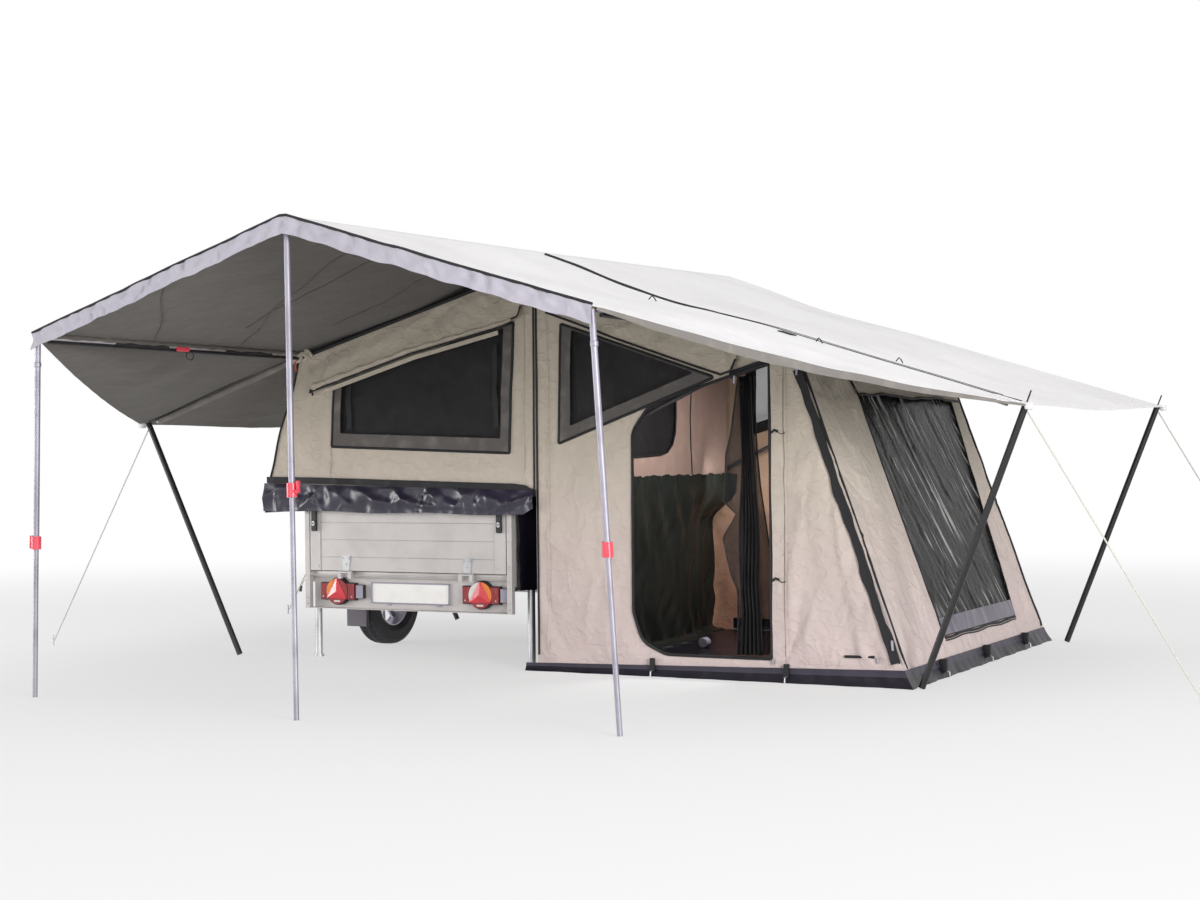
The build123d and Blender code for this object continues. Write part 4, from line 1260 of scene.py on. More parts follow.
@dataclass(frozen=True)
class Lines:
    """Main lines of the tent and fly sheet, which cloth and trims share."""

    rear: float = -0.02
    front: float = 2.62
    ridge: Flat = (0.87, 2.204)
    eave_left: Flat = (-0.708, 1.756)
    eave_right: Flat = (2.345, 1.756)
    deck_left: float = -0.965
    deck_right: float = 0.868
    deck_top: float = 0.985
    deck_bottom: float = 0.96
    base_right: float = 2.985
    band: float = 0.08
    porch: float = -2.01
    fly_ridge: Flat = (2.295, 2.365)
    fly_eave: Flat = (1.7963, 1.8663)
    tips_near: Point = (-1.917, 3.6, 1.396)
    tips_far: Point = (-2.0174, 3.7042, 1.4328)
    porch_left: Flat = (-0.854, 1.806)
    porch_ridge: Flat = (0.688, 2.288)
    porch_right: Flat = (2.285, 1.803)
    bed_window: Opening = Opening(
        ((-0.48, 1.245), (0.7, 1.197), (0.732, 1.9), (-0.458, 1.585)), 0.03, (0.074, 0.055, 0.006, 0.05)
    )
    room_window: Opening = Opening(((1.022, 1.247), (1.925, 1.572), (1.042, 1.878)), 0.03, (0.06, 0.006, 0.062))
    far_window: Opening = Opening(((0.99, 1.3), (1.925, 1.572), (1.0, 1.878)), 0.03, (0.05, 0.006, 0.03))
    cabin_window: Opening = Opening(
        ((0.9, 1.15), (1.75, 1.18), (1.75, 1.64), (0.9, 1.64)), (0.1, 0.24, 0.15, 0.15)
    )
    doorway: Opening = Opening(
        ((1.458, 0.34), (1.512, 0.18), (1.65, 0.12), (2.25, 0.12), (2.25, 1.64), (1.57, 1.44), (1.462, 1.3)),
        (0.13, 0.13, 0.13, 0.02, 0.02, 0.13, 0.13),
    )

    @property
    def foot(self) -> float:
        """X of the right wall at the top of the ground sheet's band."""
        return self.base_right - self.lean * self.band

    @property
    def lean(self) -> float:
        """Sideways run of the right wall for each metre it rises."""
        return (self.base_right - self.eave_right[0]) / (self.eave_right[1] + 0.006)

    def stations(self) -> Array:
        """Fold points of the fly sheet.

        Returns:
            Rows for porch front, tent rear and tent front, each from left to right.
        """
        edge = (self.porch_left, self.porch_left, self.porch_ridge, self.porch_right, self.porch_right)
        rows = [[(x, self.porch, z) for x, z in edge]]
        for y, (left, right, tip), eave, ridge in (
            (self.rear, self.tips_near, self.fly_eave[0], self.fly_ridge[0]),
            (self.front, self.tips_far, self.fly_eave[1], self.fly_ridge[1]),
        ):
            across = (left, self.eave_left[0], self.ridge[0], self.eave_right[0], right)
            rows.append([(x, y, z) for x, z in zip(across, (tip, eave, ridge, eave, tip))])
        return np.array(rows)


LINES = Lines()


@dataclass
class FlySheet(Assembly):
    """The fly sheet and porch roof: one sheet over ridge, eaves and flaps, with its valance."""

    panels: int = 26
    rows: int = 46
    thickness: float = 0.003
    slope_sag: float = 0.038
    flap_sag: float = 0.036
    edge_droop: float = 0.04
    hem: float = 0.08

    def surface(self, across: Array, along: Array) -> Array:
        """Places on the top face.

        Args:
            across: Fold number from 0 at the left edge to 4 at the right.
            along: Station from 0 at the porch front to 2 at the tent's front.

        Returns:
            The places in the maker's frame.
        """
        folds = LINES.stations()
        panel = np.clip(across.astype(int), 0, 3)
        span = np.clip(along.astype(int), 0, 1)
        share, run = across - panel, along - span
        near = blend(folds[span, panel], folds[span, panel + 1], share)
        far = blend(folds[span + 1, panel], folds[span + 1, panel + 1], share)
        place = blend(near, far, run)
        slope = (panel == 1) | (panel == 2)
        belly = np.sin(math.pi * share) ** 2
        porch = span == 0
        deep = np.where(porch, np.sin(run * math.pi / 2) ** 0.7, 1.0 - 0.25 * run)
        slope_drop = self.slope_sag * belly * deep
        reach = np.where(panel == 0, 1 - share, share)
        swing = np.sin(math.pi * run) ** 2
        sway = np.sin(math.pi * run)
        flap_drop = self.flap_sag * belly * swing + self.edge_droop * reach**2 * np.where(porch, sway, 0.6 * swing)
        place[:, 2] -= np.where(slope, slope_drop, flap_drop) + 0.003
        draw = np.where(porch, 0.0, 0.025 * swing) * reach**3
        place[:, 0] += np.where(panel == 0, draw, np.where(panel == 3, -draw, 0.0))
        flap_ease = 2.4 * np.sqrt(reach * (1.15 - reach)) * np.where(porch, sway, swing)
        ease = np.where(slope, np.sin(math.pi * share), flap_ease)
        place[:, 2] += self.creases(place) * ease
        billow = np.sin(17 * run + 2 * share) + 0.6 * np.sin(29 * run - 3 * share + 1)
        place[:, 2] += np.where(slope, 0.0, 0.009 * billow * belly * swing)
        return place

    def creases(self, place: Array) -> Array:
        """Tension creases that fan out from the corners.

        Args:
            place: Places on the sheet.

        Returns:
            Their heights in metres.
        """
        folds = LINES.stations()
        total = np.zeros(len(place))
        for number, (row, column) in enumerate(((0, 0), (0, 4), (1, 0), (1, 4), (2, 0), (2, 4), (1, 2))):
            away = place[:, :2] - folds[row, column][:2]
            distance = np.hypot(away[:, 0], away[:, 1])
            turn = np.arctan2(away[:, 1], away[:, 0])
            fan = np.sin(turn * (17 + 3 * number % 7) + number) * np.sin(turn * 5 + 2.0 * number)
            total += fan * 0.006 * np.minimum(distance / 0.5, 1.0) * np.exp(-distance / 1.3)
        total += 0.0028 * ripples(place[:, 0], place[:, 1], 35.0, 0.42, 1.2)
        total += 0.0016 * ripples(place[:, 0], place[:, 1], -50.0, 0.19, 3.4)
        return total

    def line(self, across: Sequence[float], along: Sequence[float], lift: float) -> Array:
        """Places above the top face, by their fold numbers and stations."""
        return self.surface(np.asarray(across, float), np.asarray(along, float)) + (0.0, 0.0, lift)

    def build(self) -> None:
        """Make the sheet, its valance, seams and edge piping."""
        across = np.linspace(0, 4, 4 * self.panels + 1)
        along = np.linspace(0, 2, 2 * self.rows + 1)
        grid = np.array(np.meshgrid(across, along))
        rows = self.surface(grid[0].ravel(), grid[1].ravel()).reshape(len(along), len(across), 3)
        shape = Shape().cloth(Skin.grid(rows), self.thickness, 0, 1)
        nodes = ("fly_left", "fly_right", "fly_flaps", "porch_left", "porch_right", "porch_flaps")
        sheet = self.put(
            shape, "fly_sheet", (Finish.FLY_TOP, Finish.FLY_UNDER), slot="fly_cloth", nodes=nodes, angle=SOFT_EDGE
        )
        self.valance()
        self.edge_hem()
        self.seams()

    def valance(self) -> None:
        """Hang the short hem along the porch's front edge."""
        across = np.linspace(1, 3, 241)
        top = self.surface(across, np.zeros_like(across))
        rows = []
        for share in np.linspace(0, 1, 8):
            drop = self.hem * (1 + 0.03 * np.sin(across * 23) + 0.03 * np.sin(across * 57 + 1))
            row = top.copy()
            row[:, 2] -= drop * share
            run, slack = across * 1.6, share * self.hem
            puff = 0.011 * ripples(run, slack, 34.0, 0.1, 0.6) + 0.008 * ripples(run, slack, -50.0, 0.06, 1.4)
            row[:, 1] -= 0.006 + share * 0.01 + puff * math.sin(math.pi * (0.15 + 0.75 * share))
            rows.append(row)
        shape = Shape().cloth(Skin.grid(rows, flip=True))
        nodes = ("porch_valance",)
        # the valance's cloth is darkened as painted shade
        piece = self.put(shape, "porch_valance_cloth", (Finish.VALANCE_SHADED,), slot="fly_cloth", nodes=nodes)

    def edge_hem(self) -> None:
        """Hang the grey hem of the porch roof's free right edge."""
        along = np.linspace(0.01, 0.99, 90)
        edge = self.surface(np.full_like(along, 4.0), along)
        deep = np.interp(along, (0, 0.12, 0.35, 0.75, 1.0), (0.012, 0.03, 0.044, 0.026, 0.01))
        rows = []
        for share in np.linspace(0, 1, 6):
            row = edge.copy()
            row[:, 2] -= deep * share
            row[:, 0] -= 0.004 * share + 0.003 * np.sin(along * 70) * share
            rows.append(row)
        shape = Shape().cloth(Skin.grid(rows, flip=True))
        piece = self.put(shape, "porch_edge_hem", (Finish.HEM,), slot="fly_cloth")

    def seams(self) -> None:
        """Lay the piping at the porch's front, the zip seam over the rear wall, its loops and patch."""
        shape = Shape()
        across = np.linspace(1, 3, 90)
        shape.tube(self.line(across, np.zeros_like(across), 0.005) - (0.0, 0.003, 0.0), 0.007, 8)
        for low, high in ((0.05, 1.95), (2.05, 3.97)):
            across = np.linspace(low, high, 160)
            waver = 1 + 0.004 * np.sin(across * 9)
            thick = 0.0025 + 0.0075 * np.clip(np.sin(across * 3.1 - 5.6) * 1.6, 0, 1)
            shape.tube(self.line(across, waver, 0.002), thick, 6)
            shape.tube(self.line(across, waver + 0.03, 0.001), 0.0022, 6)
        for across, along in ((2.62, 0.8), (3.18, 0.94), (3.42, 1.06), (1.4, 0.9), (0.6, 1.05)):
            spots = self.line([across, across + 0.012, across + 0.02, across + 0.028], [along] * 4, 0.004)
            spots[1:3, 2] += (0.022, 0.016)
            shape.tube(spots, 0.003, 6)
        patch = self.line([3.03, 3.09, 3.09, 3.03], [0.91, 0.91, 0.94, 0.94], 0.004)
        shape.tube(resample(patch, 0.02, True), 0.003, 6, closed=True)
        self.put(shape, "fly_seams", (Finish.TAPE,), slot="pole_black")
        self.under_seams()
        patches = Shape()
        for across, along in ((3.93, 1.0), (0.07, 1.0)):
            ring = np.array(np.meshgrid(np.linspace(-0.05, 0.05, 5), np.linspace(-0.035, 0.035, 5)))
            spots = self.surface(across + ring[0].ravel(), along + ring[1].ravel()).reshape(5, 5, 3)
            patches.cloth(Skin.grid(spots + (0.0, 0.0, 0.004)), 0.003)
        for row, column in ((1, 0), (1, 4), (2, 0), (2, 4)):
            tip = LINES.stations()[row, column]
            inward = 0.026 if column == 0 else -0.026
            low, high = sorted((tip[0] - 0.3 * inward, tip[0] + inward))
            patches.block((low, tip[1] - 0.026, tip[2] - 0.026), (high, tip[1] + 0.026, tip[2] + 0.008), 0.008)
        self.put(patches, "tip_patches", (Finish.FLY_TOP,), slot="fly_cloth")

    def under_seams(self) -> None:
        """Mark pressed creases below the porch roof and bunch its lining along the eaves."""
        shape = Shape()
        for knots in (
            [(1.03, 0.4), (1.52, 0.03)],
            [(1.04, 0.72), (1.5, 0.47), (1.93, 0.36)],
            [(1.2, 0.58), (1.55, 0.5), (1.97, 0.53), (2.3, 0.46), (2.6, 0.52)],
            [(1.3, 0.85), (1.7, 0.8), (2.2, 0.82)],
        ):
            spots = resample(knots, 0.03)
            shape.tube(self.line(spots[:, 0], spots[:, 1] + 0.008 * np.sin(spots[:, 0] * 17), -0.006), 0.0025, 6)
        along = np.linspace(0.05, 0.97, 90)
        for across in (1.012, 2.988):
            bunch = 0.01 + 0.004 * np.sin(along * 83) * np.sin(along * 31 + 1)
            shape.tube(self.line(np.full_like(along, across), along, -0.014), bunch, 8)
        self.put(shape, "porch_creases", (Finish.FLY_UNDER,), slot="fly_cloth")


@dataclass
class Tent(Assembly):
    """The tent over bed and room: roof, walls, windows, doorway and their trims."""

    thickness: float = 0.0025
    curtain_top: float = 1.045
    pad_low: Point = (-0.83, 0.065, 0.986)
    pad_high: Point = (0.783, 2.535, 1.095)
    wall_frame: Flats = ((-3.1, 0.0), (3.1, 2.3))
    wall_creases: CreaseSets = (
        (0.012, 420, 3, 12.0, 40.0, 0.018, 0.22),
        (0.009, 1000, 8, 55.0, 75.0, 0.013, 0.07),
    )
    clear_frame: Flats = ((0.7, 0.18), (2.45, 1.62))
    clear_creases: CreaseSets = (
        (0.005, 90, 5, 22.0, 9.0, 0.01, 0.4),
        (0.003, 110, 6, 20.0, 80.0, 0.01, 0.08),
    )

    def wall_relief(self, across: Array, along: Array) -> Array:
        """Soft folds and creases of the walls."""
        folds = 0.01 * ripples(across, along, 14.0, 0.46, 0.6) + 0.005 * ripples(across, along, -40.0, 0.24, 2.1)
        return folds + crease_sets(across, along, self.wall_frame, *self.wall_creases) + 0.006

    def build(self) -> None:
        """Make every cloth of the tent."""
        self.roof()
        self.rear_walls()
        self.front_walls()
        self.end_walls()
        self.ground()
        self.curtain()
        self.skirts()
        self.mattress()

    def roof(self) -> None:
        """Stretch the tent's own roof over the bars, below the fly sheet."""
        across = np.linspace(0, 2, 61)
        along = np.linspace(LINES.rear, LINES.front, 53)
        knots = np.array([LINES.eave_left, LINES.ridge, LINES.eave_right])
        rows = []
        for y in along:
            x = np.interp(across, (0, 1, 2), knots[:, 0])
            z = np.interp(across, (0, 1, 2), knots[:, 1]) + 0.006
            run = (y - LINES.rear) / (LINES.front - LINES.rear)
            belly = np.sin(math.pi * (across % 1)) ** 2 * math.sin(math.pi * run)
            rows.append(columns(x, y, z - 0.008 * belly - 0.0015))
        shape = Shape().cloth(Skin.grid(rows), self.thickness, 0, 1)
        piece = self.put(
            shape, "tent_roof", (Finish.CANVAS, Finish.LINING_SUNLIT), nodes=("roof_bed", "roof_room"), angle=SOFT_EDGE
        )
        tape = Shape()
        edge = [(x, LINES.rear - 0.004, z + 0.002) for x, z in (LINES.eave_left, LINES.ridge, LINES.eave_right)]
        tape.tube(resample(edge, 0.05), 0.011, 10)
        self.put(tape, "roof_edge_tape", (Finish.TAPE,), slot="pole_black")

    def rear_walls(self) -> None:
        """Hang the rear walls with their windows, doorway and trims."""
        left = LINES.ridge[0] + 0.001
        bed = self.upright(
            LINES.rear,
            1.0,
            [(LINES.deck_left, LINES.deck_top), (LINES.ridge[0], LINES.deck_top), LINES.ridge, LINES.eave_left],
            LINES.bed_window,
        )
        room = self.upright(
            LINES.rear,
            1.0,
            [(left, LINES.band / 2), (LINES.foot, LINES.band), LINES.eave_right, (left, LINES.ridge[1])],
            LINES.room_window,
            LINES.doorway,
        )
        self.hang(bed, "rear_wall_bed", (1.835, 1.22), 1.16)
        self.hang(room, "rear_wall_room", (2.1, 2.12), 2.05)
        self.net(bed, LINES.bed_window, "window_mesh_bed")
        self.net(room, LINES.room_window, "window_mesh_room")
        self.trims(bed, room)
        self.hoods(bed, room)
        self.door(room)

    def upright(self, y: float, side: float, outline: Flats, *openings: Opening) -> Wall:
        """Cut a wall that stands across the tent.

        Args:
            y: Where it stands.
            side: 1 where it faces rearward, -1 where it faces forward.
            outline: Its corners, X counted the way it faces.
            openings: Its windows and doorway.

        Returns:
            The wall.
        """
        holes = [opening.edge() for opening in openings]
        return Wall((0.0, y, 0.0), (side, 0.0, 0.0), UP, outline, holes, self.wall_relief)

    def hang(
        self, wall: Wall, name: str, flat: Flat, area: float | None = None, lining: Finish = Finish.LINING_SUNLIT
    ) -> None:
        """Stretch a lined wall on the tent's bars.

        Args:
            wall: Its cut.
            name: The node it stands for.
            flat: Its flat size; not used.
            area: Its area where it isn't a rectangle; not used.
            lining: Finish of its inner side.
        """
        shape = Shape().cloth(wall.skin(), self.thickness, 0, 1)
        piece = self.put(shape, f"{name}_cloth", (Finish.CANVAS, lining), nodes=(name,), angle=SOFT_EDGE)

    def net(self, wall: Wall, opening: Opening, name: str, finish: Finish = Finish.NET) -> None:
        """Set mesh behind a window's opening.

        Args:
            wall: The cloth that has the opening.
            opening: The window.
            name: Name of the piece.
            finish: Its mesh.
        """
        behind = -0.012

        def relief(across: Array, along: Array) -> Array:
            """The wall's own relief and the mesh's slack."""
            return wall.height(columns(across, along)) + 0.003 * ripples(across, along, 48.0, 0.34, 2.2)

        pane = replace(wall, outline=opening.edge(behind), holes=(), relief=relief, spacing=0.03, calm=TOUCH)
        shape = Shape().cloth(pane.skin(behind), 0.001)
        piece = self.put(shape, name, (finish,), slot="mesh_black", nodes=("window_meshes",))
        size = np.ptp(np.asarray(opening.corners), axis=0)
        abs(flat_area(opening.corners))

    def frame_window(self, wall: Wall, opening: Opening, cloths: Shape, tapes: Shape) -> None:
        """Sew a border with piped edges round a window.

        Args:
            wall: The cloth that has the window.
            opening: The window.
            cloths: Shape that takes the border.
            tapes: Shape that takes the piping.
        """
        outer, inner = opening.seam(-0.006), opening.seam(opening.border)
        wall.border(cloths, outer, inner, 0.003)
        wall.piping(tapes, outer, 0.008, 0.003, 0, True)
        wall.piping(tapes, inner, 0.003, 0.003, 0, True)

    def trims(self, bed: Wall, room: Wall) -> None:
        """Sew borders, piping and zips on the rear walls.

        Args:
            bed: The wall over the bed.
            room: The wall of the room.
        """
        cloths, tapes = Shape(), Shape()
        self.frame_window(bed, LINES.bed_window, cloths, tapes)
        self.frame_window(room, LINES.room_window, cloths, tapes)
        for x in (-0.36, 0.62):
            bed.ribbon(tapes, [(x, 1.34), (x, 1.6 + 0.2 * (x + 0.36))], 0.03, -0.004)
        self.put(cloths, "window_borders", (Finish.BORDER,))
        room.piping(tapes, LINES.doorway.edge(), 0.008, 0.002, 0, True)
        room.ribbon(tapes, [(2.03, 1.58), (2.246, 1.641)], 0.04, 0.004)
        bed.ribbon(tapes, [(0.862, LINES.deck_top), (0.866, 2.19)], 0.01, 0.004)
        room.ribbon(tapes, [(0.882, 0.09), (0.882, 2.17)], 0.012, 0.003)
        self.corner_zip(room, tapes)
        edge = np.linspace((-0.955, 1.0), (-0.712, 1.74), 40)
        edge[:, 0] += 0.008 * np.sin(edge[:, 1] * 13)
        bed.piping(tapes, edge, 0.006, 0.004)
        zip_line = [(-0.95, 1.049), (-0.6, 1.044), (0.74, 1.004), (0.82, 0.994), (0.855, 0.988)]
        bed.ribbon(tapes, zip_line, lambda run: 0.037 * np.clip((1.81 - run) / 0.05, 0.3, 1.0), 0.01)
        self.put(tapes, "wall_tapes", (Finish.TAPE,), slot="pvc_charcoal")
        seams = Shape()
        for line in ([(-0.5, 1.075), (-0.5, 1.235)], [(0.8, 1.02), (0.802, 2.15)]):
            bed.ribbon(seams, line, 0.012, 0.002)
        for line in (
            [(2.335, 0.1), (2.335, 1.74)],
            [(0.95, 0.12), (0.95, 1.95)],
            [(1.1, 0.165), (1.44, 0.165)],
            [(2.4, 0.11), (2.88, 0.11)],
        ):
            room.ribbon(seams, line, 0.012, 0.002)
        room.ribbon(seams, [(2.292, 0.11), (2.292, 1.655)], lambda run: 0.066 + 0.004 * np.sin(run * 9), 0.005)
        self.put(seams, "wall_seams", (Finish.CANVAS,))

    def corner_zip(self, room: Wall, tapes: Shape) -> None:
        """Sew the zip's dark cover and a piped line beside the room's corner.

        Args:
            room: The wall of the room.
            tapes: Shape that takes them.
        """
        heights = np.linspace(0.125, 1.6, 60)
        sway = 0.003 * np.sin(heights * 11) + 0.002 * np.sin(heights * 29 + 1)
        cover = columns(2.957 - 0.342 * heights + sway, heights)
        room.ribbon(tapes, cover, lambda run: 0.046 + 0.006 * np.sin(run * 17) + 0.004 * np.sin(run * 41 + 2), 0.007)
        room.piping(tapes, cover + (0.019, 0.0), 0.004, 0.009)
        room.piping(tapes, columns(3.008 - 0.352 * heights, heights), 0.0045, 0.003)

    def hood(self, wall: Wall, shape: Shape, top: Flats, low: Flats, proud: float, seed: float) -> None:
        """Let a window's flap hang over its upper edge.

        Args:
            wall: The cloth it is sewn to.
            shape: Shape that takes the flap.
            top: The line it is sewn along.
            low: Its free edge.
            proud: How far the free edge stands off.
            seed: Picks one set of folds.
        """
        shares = np.linspace(0, 1, 90)
        upper, lower = along_line(top, shares), along_line(low, shares)
        rows = []
        for drop in np.linspace(0, 1, 20):
            spots = upper + (lower - upper) * drop
            run, slack = shares * 1.4, drop * 0.4
            fold = 0.007 * ripples(run, slack, 52.0, 0.34, seed) + 0.0015 * ripples(run, slack, 30.0, 0.17, seed + 1)
            swing = math.sin(math.pi * min(drop * 1.05, 1.0))
            rows.append(wall.at(spots, 0.004 + proud * drop**1.4 + fold * swing))
        shape.cloth(Skin.grid(rows, flip=True), self.thickness)

    def hoods(self, bed: Wall, room: Wall) -> None:
        """Hang the flaps of the two rear windows, with rolled and piped edges.

        Args:
            bed: The wall over the bed.
            room: The wall of the room.
        """
        flaps, tapes = Shape(), Shape()
        bed_low = [(-0.6, 1.58), (0.094, 1.776), (0.691, 1.904), (0.78, 1.938), (0.806, 1.995)]
        self.hood(bed, flaps, [(-0.655, 1.757), (0.806, 2.168)], bed_low, 0.034, 0.8)
        run = np.linspace(0, 0.93, 60)
        edge = along_line(bed_low, run)
        swell = np.interp(run, (0, 0.2, 1), (1.7, 1.5, 0.9))
        lump = (0.013 + 0.003 * np.sin(run * 60) + 0.002 * np.sin(run * 141)) * swell
        lump[0] *= 0.5
        flaps.tube(bed.at(edge, 0.036), lump, 12)
        bed.piping(tapes, edge - (0.0, 0.022), 0.006, 0.053)
        bed.ribbon(flaps, along_line(bed_low, np.linspace(0.03, 0.86, 40)) - (-0.02, 0.041), 0.024, 0.036)
        end = bed.at([bed_low[0]], 0.04)[0]
        for drop, side in ((0.03, -0.006), (0.042, 0.016)):
            tapes.tube(np.array([end, end + (side, -0.004, -drop)]), 0.006, 8)
        bed.piping(tapes, along_line(bed_low, np.linspace(0.88, 1.0, 12)), 0.005, 0.04)
        room_low = [(0.967, 1.95), (1.401, 1.787), (1.848, 1.631), (1.993, 1.583), (2.05, 1.602), (2.078, 1.66)]
        self.hood(room, flaps, [(0.9, 2.18), (2.095, 1.818)], room_low, 0.03, 2.3)
        room.piping(tapes, room_low, 0.006, 0.036)
        piece = self.put(flaps, "window_hoods", (Finish.CANVAS,), angle=SOFT_EDGE)
        self.put(tapes, "hood_piping", (Finish.TAPE,), slot="pvc_charcoal")

    def door(self, room: Wall) -> None:
        """Gather the mesh door at the right of the doorway and put toggles on its jamb.

        Args:
            room: The wall of the room.
        """
        heights = np.linspace(1.575, 0.13, 90)
        core = np.interp(heights, (0.13, 0.35, 0.9, 1.575), (2.026, 2.052, 2.056, 2.062))
        end = core + np.interp(heights, (0.13, 0.5, 1.2, 1.575), (0.15, 0.098, 0.08, 0.05))
        knots = (0.13, 0.46, 0.53, 0.74, 0.82, 0.865, 0.92, 1.17, 1.28, 1.5, 1.575)
        left = np.interp(heights, knots, (2.03, 2.045, 2.016, 1.97, 2.025, 2.045, 1.97, 1.978, 2.01, 2.05, 2.064))
        right = np.interp(heights, (0.13, 0.3, 0.5, 0.72, 1.0, 1.575), (2.2, 2.238, 2.236, 2.195, 2.16, 2.12))
        shape, toggles = Shape(), Shape()
        for first, last, pleats, deep, middle, slot in (
            (core, end, 34, 0.016, 0.04, 1),
            (left, core + 0.02, 9, 0.008, 0.02, 0),
            (end - 0.02, right, 8, 0.01, 0.06, 0),
        ):
            rows = []
            for share in np.linspace(0, 1, 40):
                pleat = deep * np.sin(share * pleats + 0.8 * np.sin(heights * 6))
                wander = 0.005 * np.sin(heights * 7 + share * 3)
                rows.append(columns(first + (last - first) * share + wander, middle + pleat, heights))
            shape.cloth(Skin.grid(rows), 0.001, slot, slot)
            toggles.tube((rows[0] if slot == 0 and middle < 0.05 else rows[-1])[::2], 0.004, 6)
        piece = self.put(shape, "door_mesh", (Finish.DOOR_NET, Finish.NET), slot="mesh_black")
        for height in (1.283, 0.526):
            spots = room.at([(2.262, height - 0.004), (2.28, height + 0.01), (2.3, height + 0.002)], 0.012)
            toggles.tube(spots, 0.006, 8)
            cord = room.at([(2.285, height + 0.004), (2.315, height - 0.012), (2.335, height - 0.006)], 0.008)
            toggles.tube(cord, 0.0025, 6)
        for start, stop, lift, radius, slot in (
            ((2.258, 0.122), (2.262, 0.094), 0.01, 0.006, 1),
            ((2.818, 0.15), (2.822, 0.122), 0.01, 0.006, 1),
            ((2.646, 0.15), (2.8, 0.152), 0.006, 0.007, 0),
            ((2.408, 1.61), (2.405, 1.57), 0.014, 0.006, 1),
            ((2.898, 0.24), (2.902, 0.19), 0.016, 0.007, 1),
            ((2.062, 1.576), (2.058, 1.535), 0.012, 0.006, 1),
        ):
            toggles.tube(room.at([start, stop], lift), radius, 8, slot)
        self.put(toggles, "toggles_and_zip_pulls", (Finish.TAPE, Finish.POLE), slot="pvc_charcoal")
        disc = [(0.031, -0.05), (0.031, 0.0), (0.028, 0.003), (0.0, 0.004)]
        cap = Shape().lathe(disc, (1.212, 1.393, 0.036), (0.0, -1.0, 0.0), 28)
        self.put(cap, "round_cap", (Finish.HOLDER,), slot="pole_aluminium")

    def front_walls(self) -> None:
        """Hang the far walls, mirrored, with their windows."""
        bed_window, far_window = LINES.bed_window.mirrored(), LINES.far_window.mirrored()
        ridge_x, ridge_z = -LINES.ridge[0], LINES.ridge[1]
        box_x, box_top = -0.705, 0.862
        bed = self.upright(
            LINES.front,
            -1.0,
            [
                (ridge_x, LINES.deck_top),
                (-LINES.deck_left, LINES.deck_top),
                (-LINES.eave_left[0], LINES.eave_left[1]),
                (ridge_x, ridge_z),
            ],
            bed_window,
        )
        room = self.upright(
            LINES.front,
            -1.0,
            [
                (-LINES.foot, LINES.band),
                (ridge_x - 0.002, LINES.band),
                (ridge_x - 0.002, 0.002),
                (box_x, 0.002),
                (box_x, box_top),
                (ridge_x - 0.001, box_top),
                (ridge_x - 0.001, ridge_z),
                (-LINES.eave_right[0], LINES.eave_right[1]),
            ],
            far_window,
        )
        frames, tapes = Shape(), Shape()
        for wall, opening, name, flat, area, mesh in (
            (bed, bed_window, "front_wall_bed", (1.835, 1.22), 1.16, Finish.NET),
            (room, far_window, "front_wall_room", (2.27, 2.12), 3.2, Finish.DOOR_NET),
        ):
            self.hang(wall, name, flat, area)
            self.net(wall, opening, name.replace("wall", "mesh"), mesh)
            self.frame_window(wall, opening, frames, tapes)
        self.put(frames, "front_window_borders", (Finish.BORDER,))
        self.put(tapes, "front_tapes", (Finish.TAPE,), slot="pvc_charcoal")

    def end_walls(self) -> None:
        """Lean the end walls between base and eaves, with the clear window on the right."""
        slope = math.hypot(LINES.lean, 1.0)
        up = (-LINES.lean / slope, 0.0, 1 / slope)
        rear, front = LINES.rear + 0.006, LINES.front - 0.006
        pane = Opening(
            ((0.735, 0.19 * slope), (2.13, 0.19 * slope), (2.43, 1.51 * slope), (0.735, 1.51 * slope))
        )
        low, high = LINES.band * slope, LINES.eave_right[1] * slope
        outline = [(rear, low), (front, low), (front, high), (rear, high)]
        right = Wall(
            (LINES.base_right, 0.0, 0.0), AHEAD, up, outline, [pane.edge()], self.wall_relief
        )
        # the inner side takes the lining in painted shade
        self.hang(right, "end_wall_room", (2.63, 1.79), 2.45, Finish.LINING_IN_SHADE)
        glass = replace(right, outline=pane.edge(-0.01), holes=(), relief=self.clear_relief, spacing=0.022)
        shape = Shape().cloth(glass.skin(-0.003), 0.001)
        piece = self.put(shape, "window_clear_sheet", (Finish.CLEAR,), slot="clear_pvc", nodes=("window_clear",))
        self.side_trims(right, pane)
        rise = LINES.eave_left[1] - LINES.deck_top
        lift = (LINES.eave_left[0] - LINES.deck_left) / rise
        tilt = math.hypot(lift, 1.0)
        up = (lift / tilt, 0.0, 1 / tilt)
        outline = [(-front, 0.0), (-rear, 0.0), (-rear, rise * tilt), (-front, rise * tilt)]
        left = Wall(
            (LINES.deck_left, 0.0, LINES.deck_top), (0.0, -1.0, 0.0), up, outline, (), self.wall_relief
        )
        self.hang(left, "end_wall_bed", (2.63, 0.82))

    def clear_relief(self, across: Array, along: Array) -> Array:
        """Sharp long creases of the clear window, running down towards its front corner."""
        return crease_sets(across, along, self.clear_frame, *self.clear_creases) - 0.006

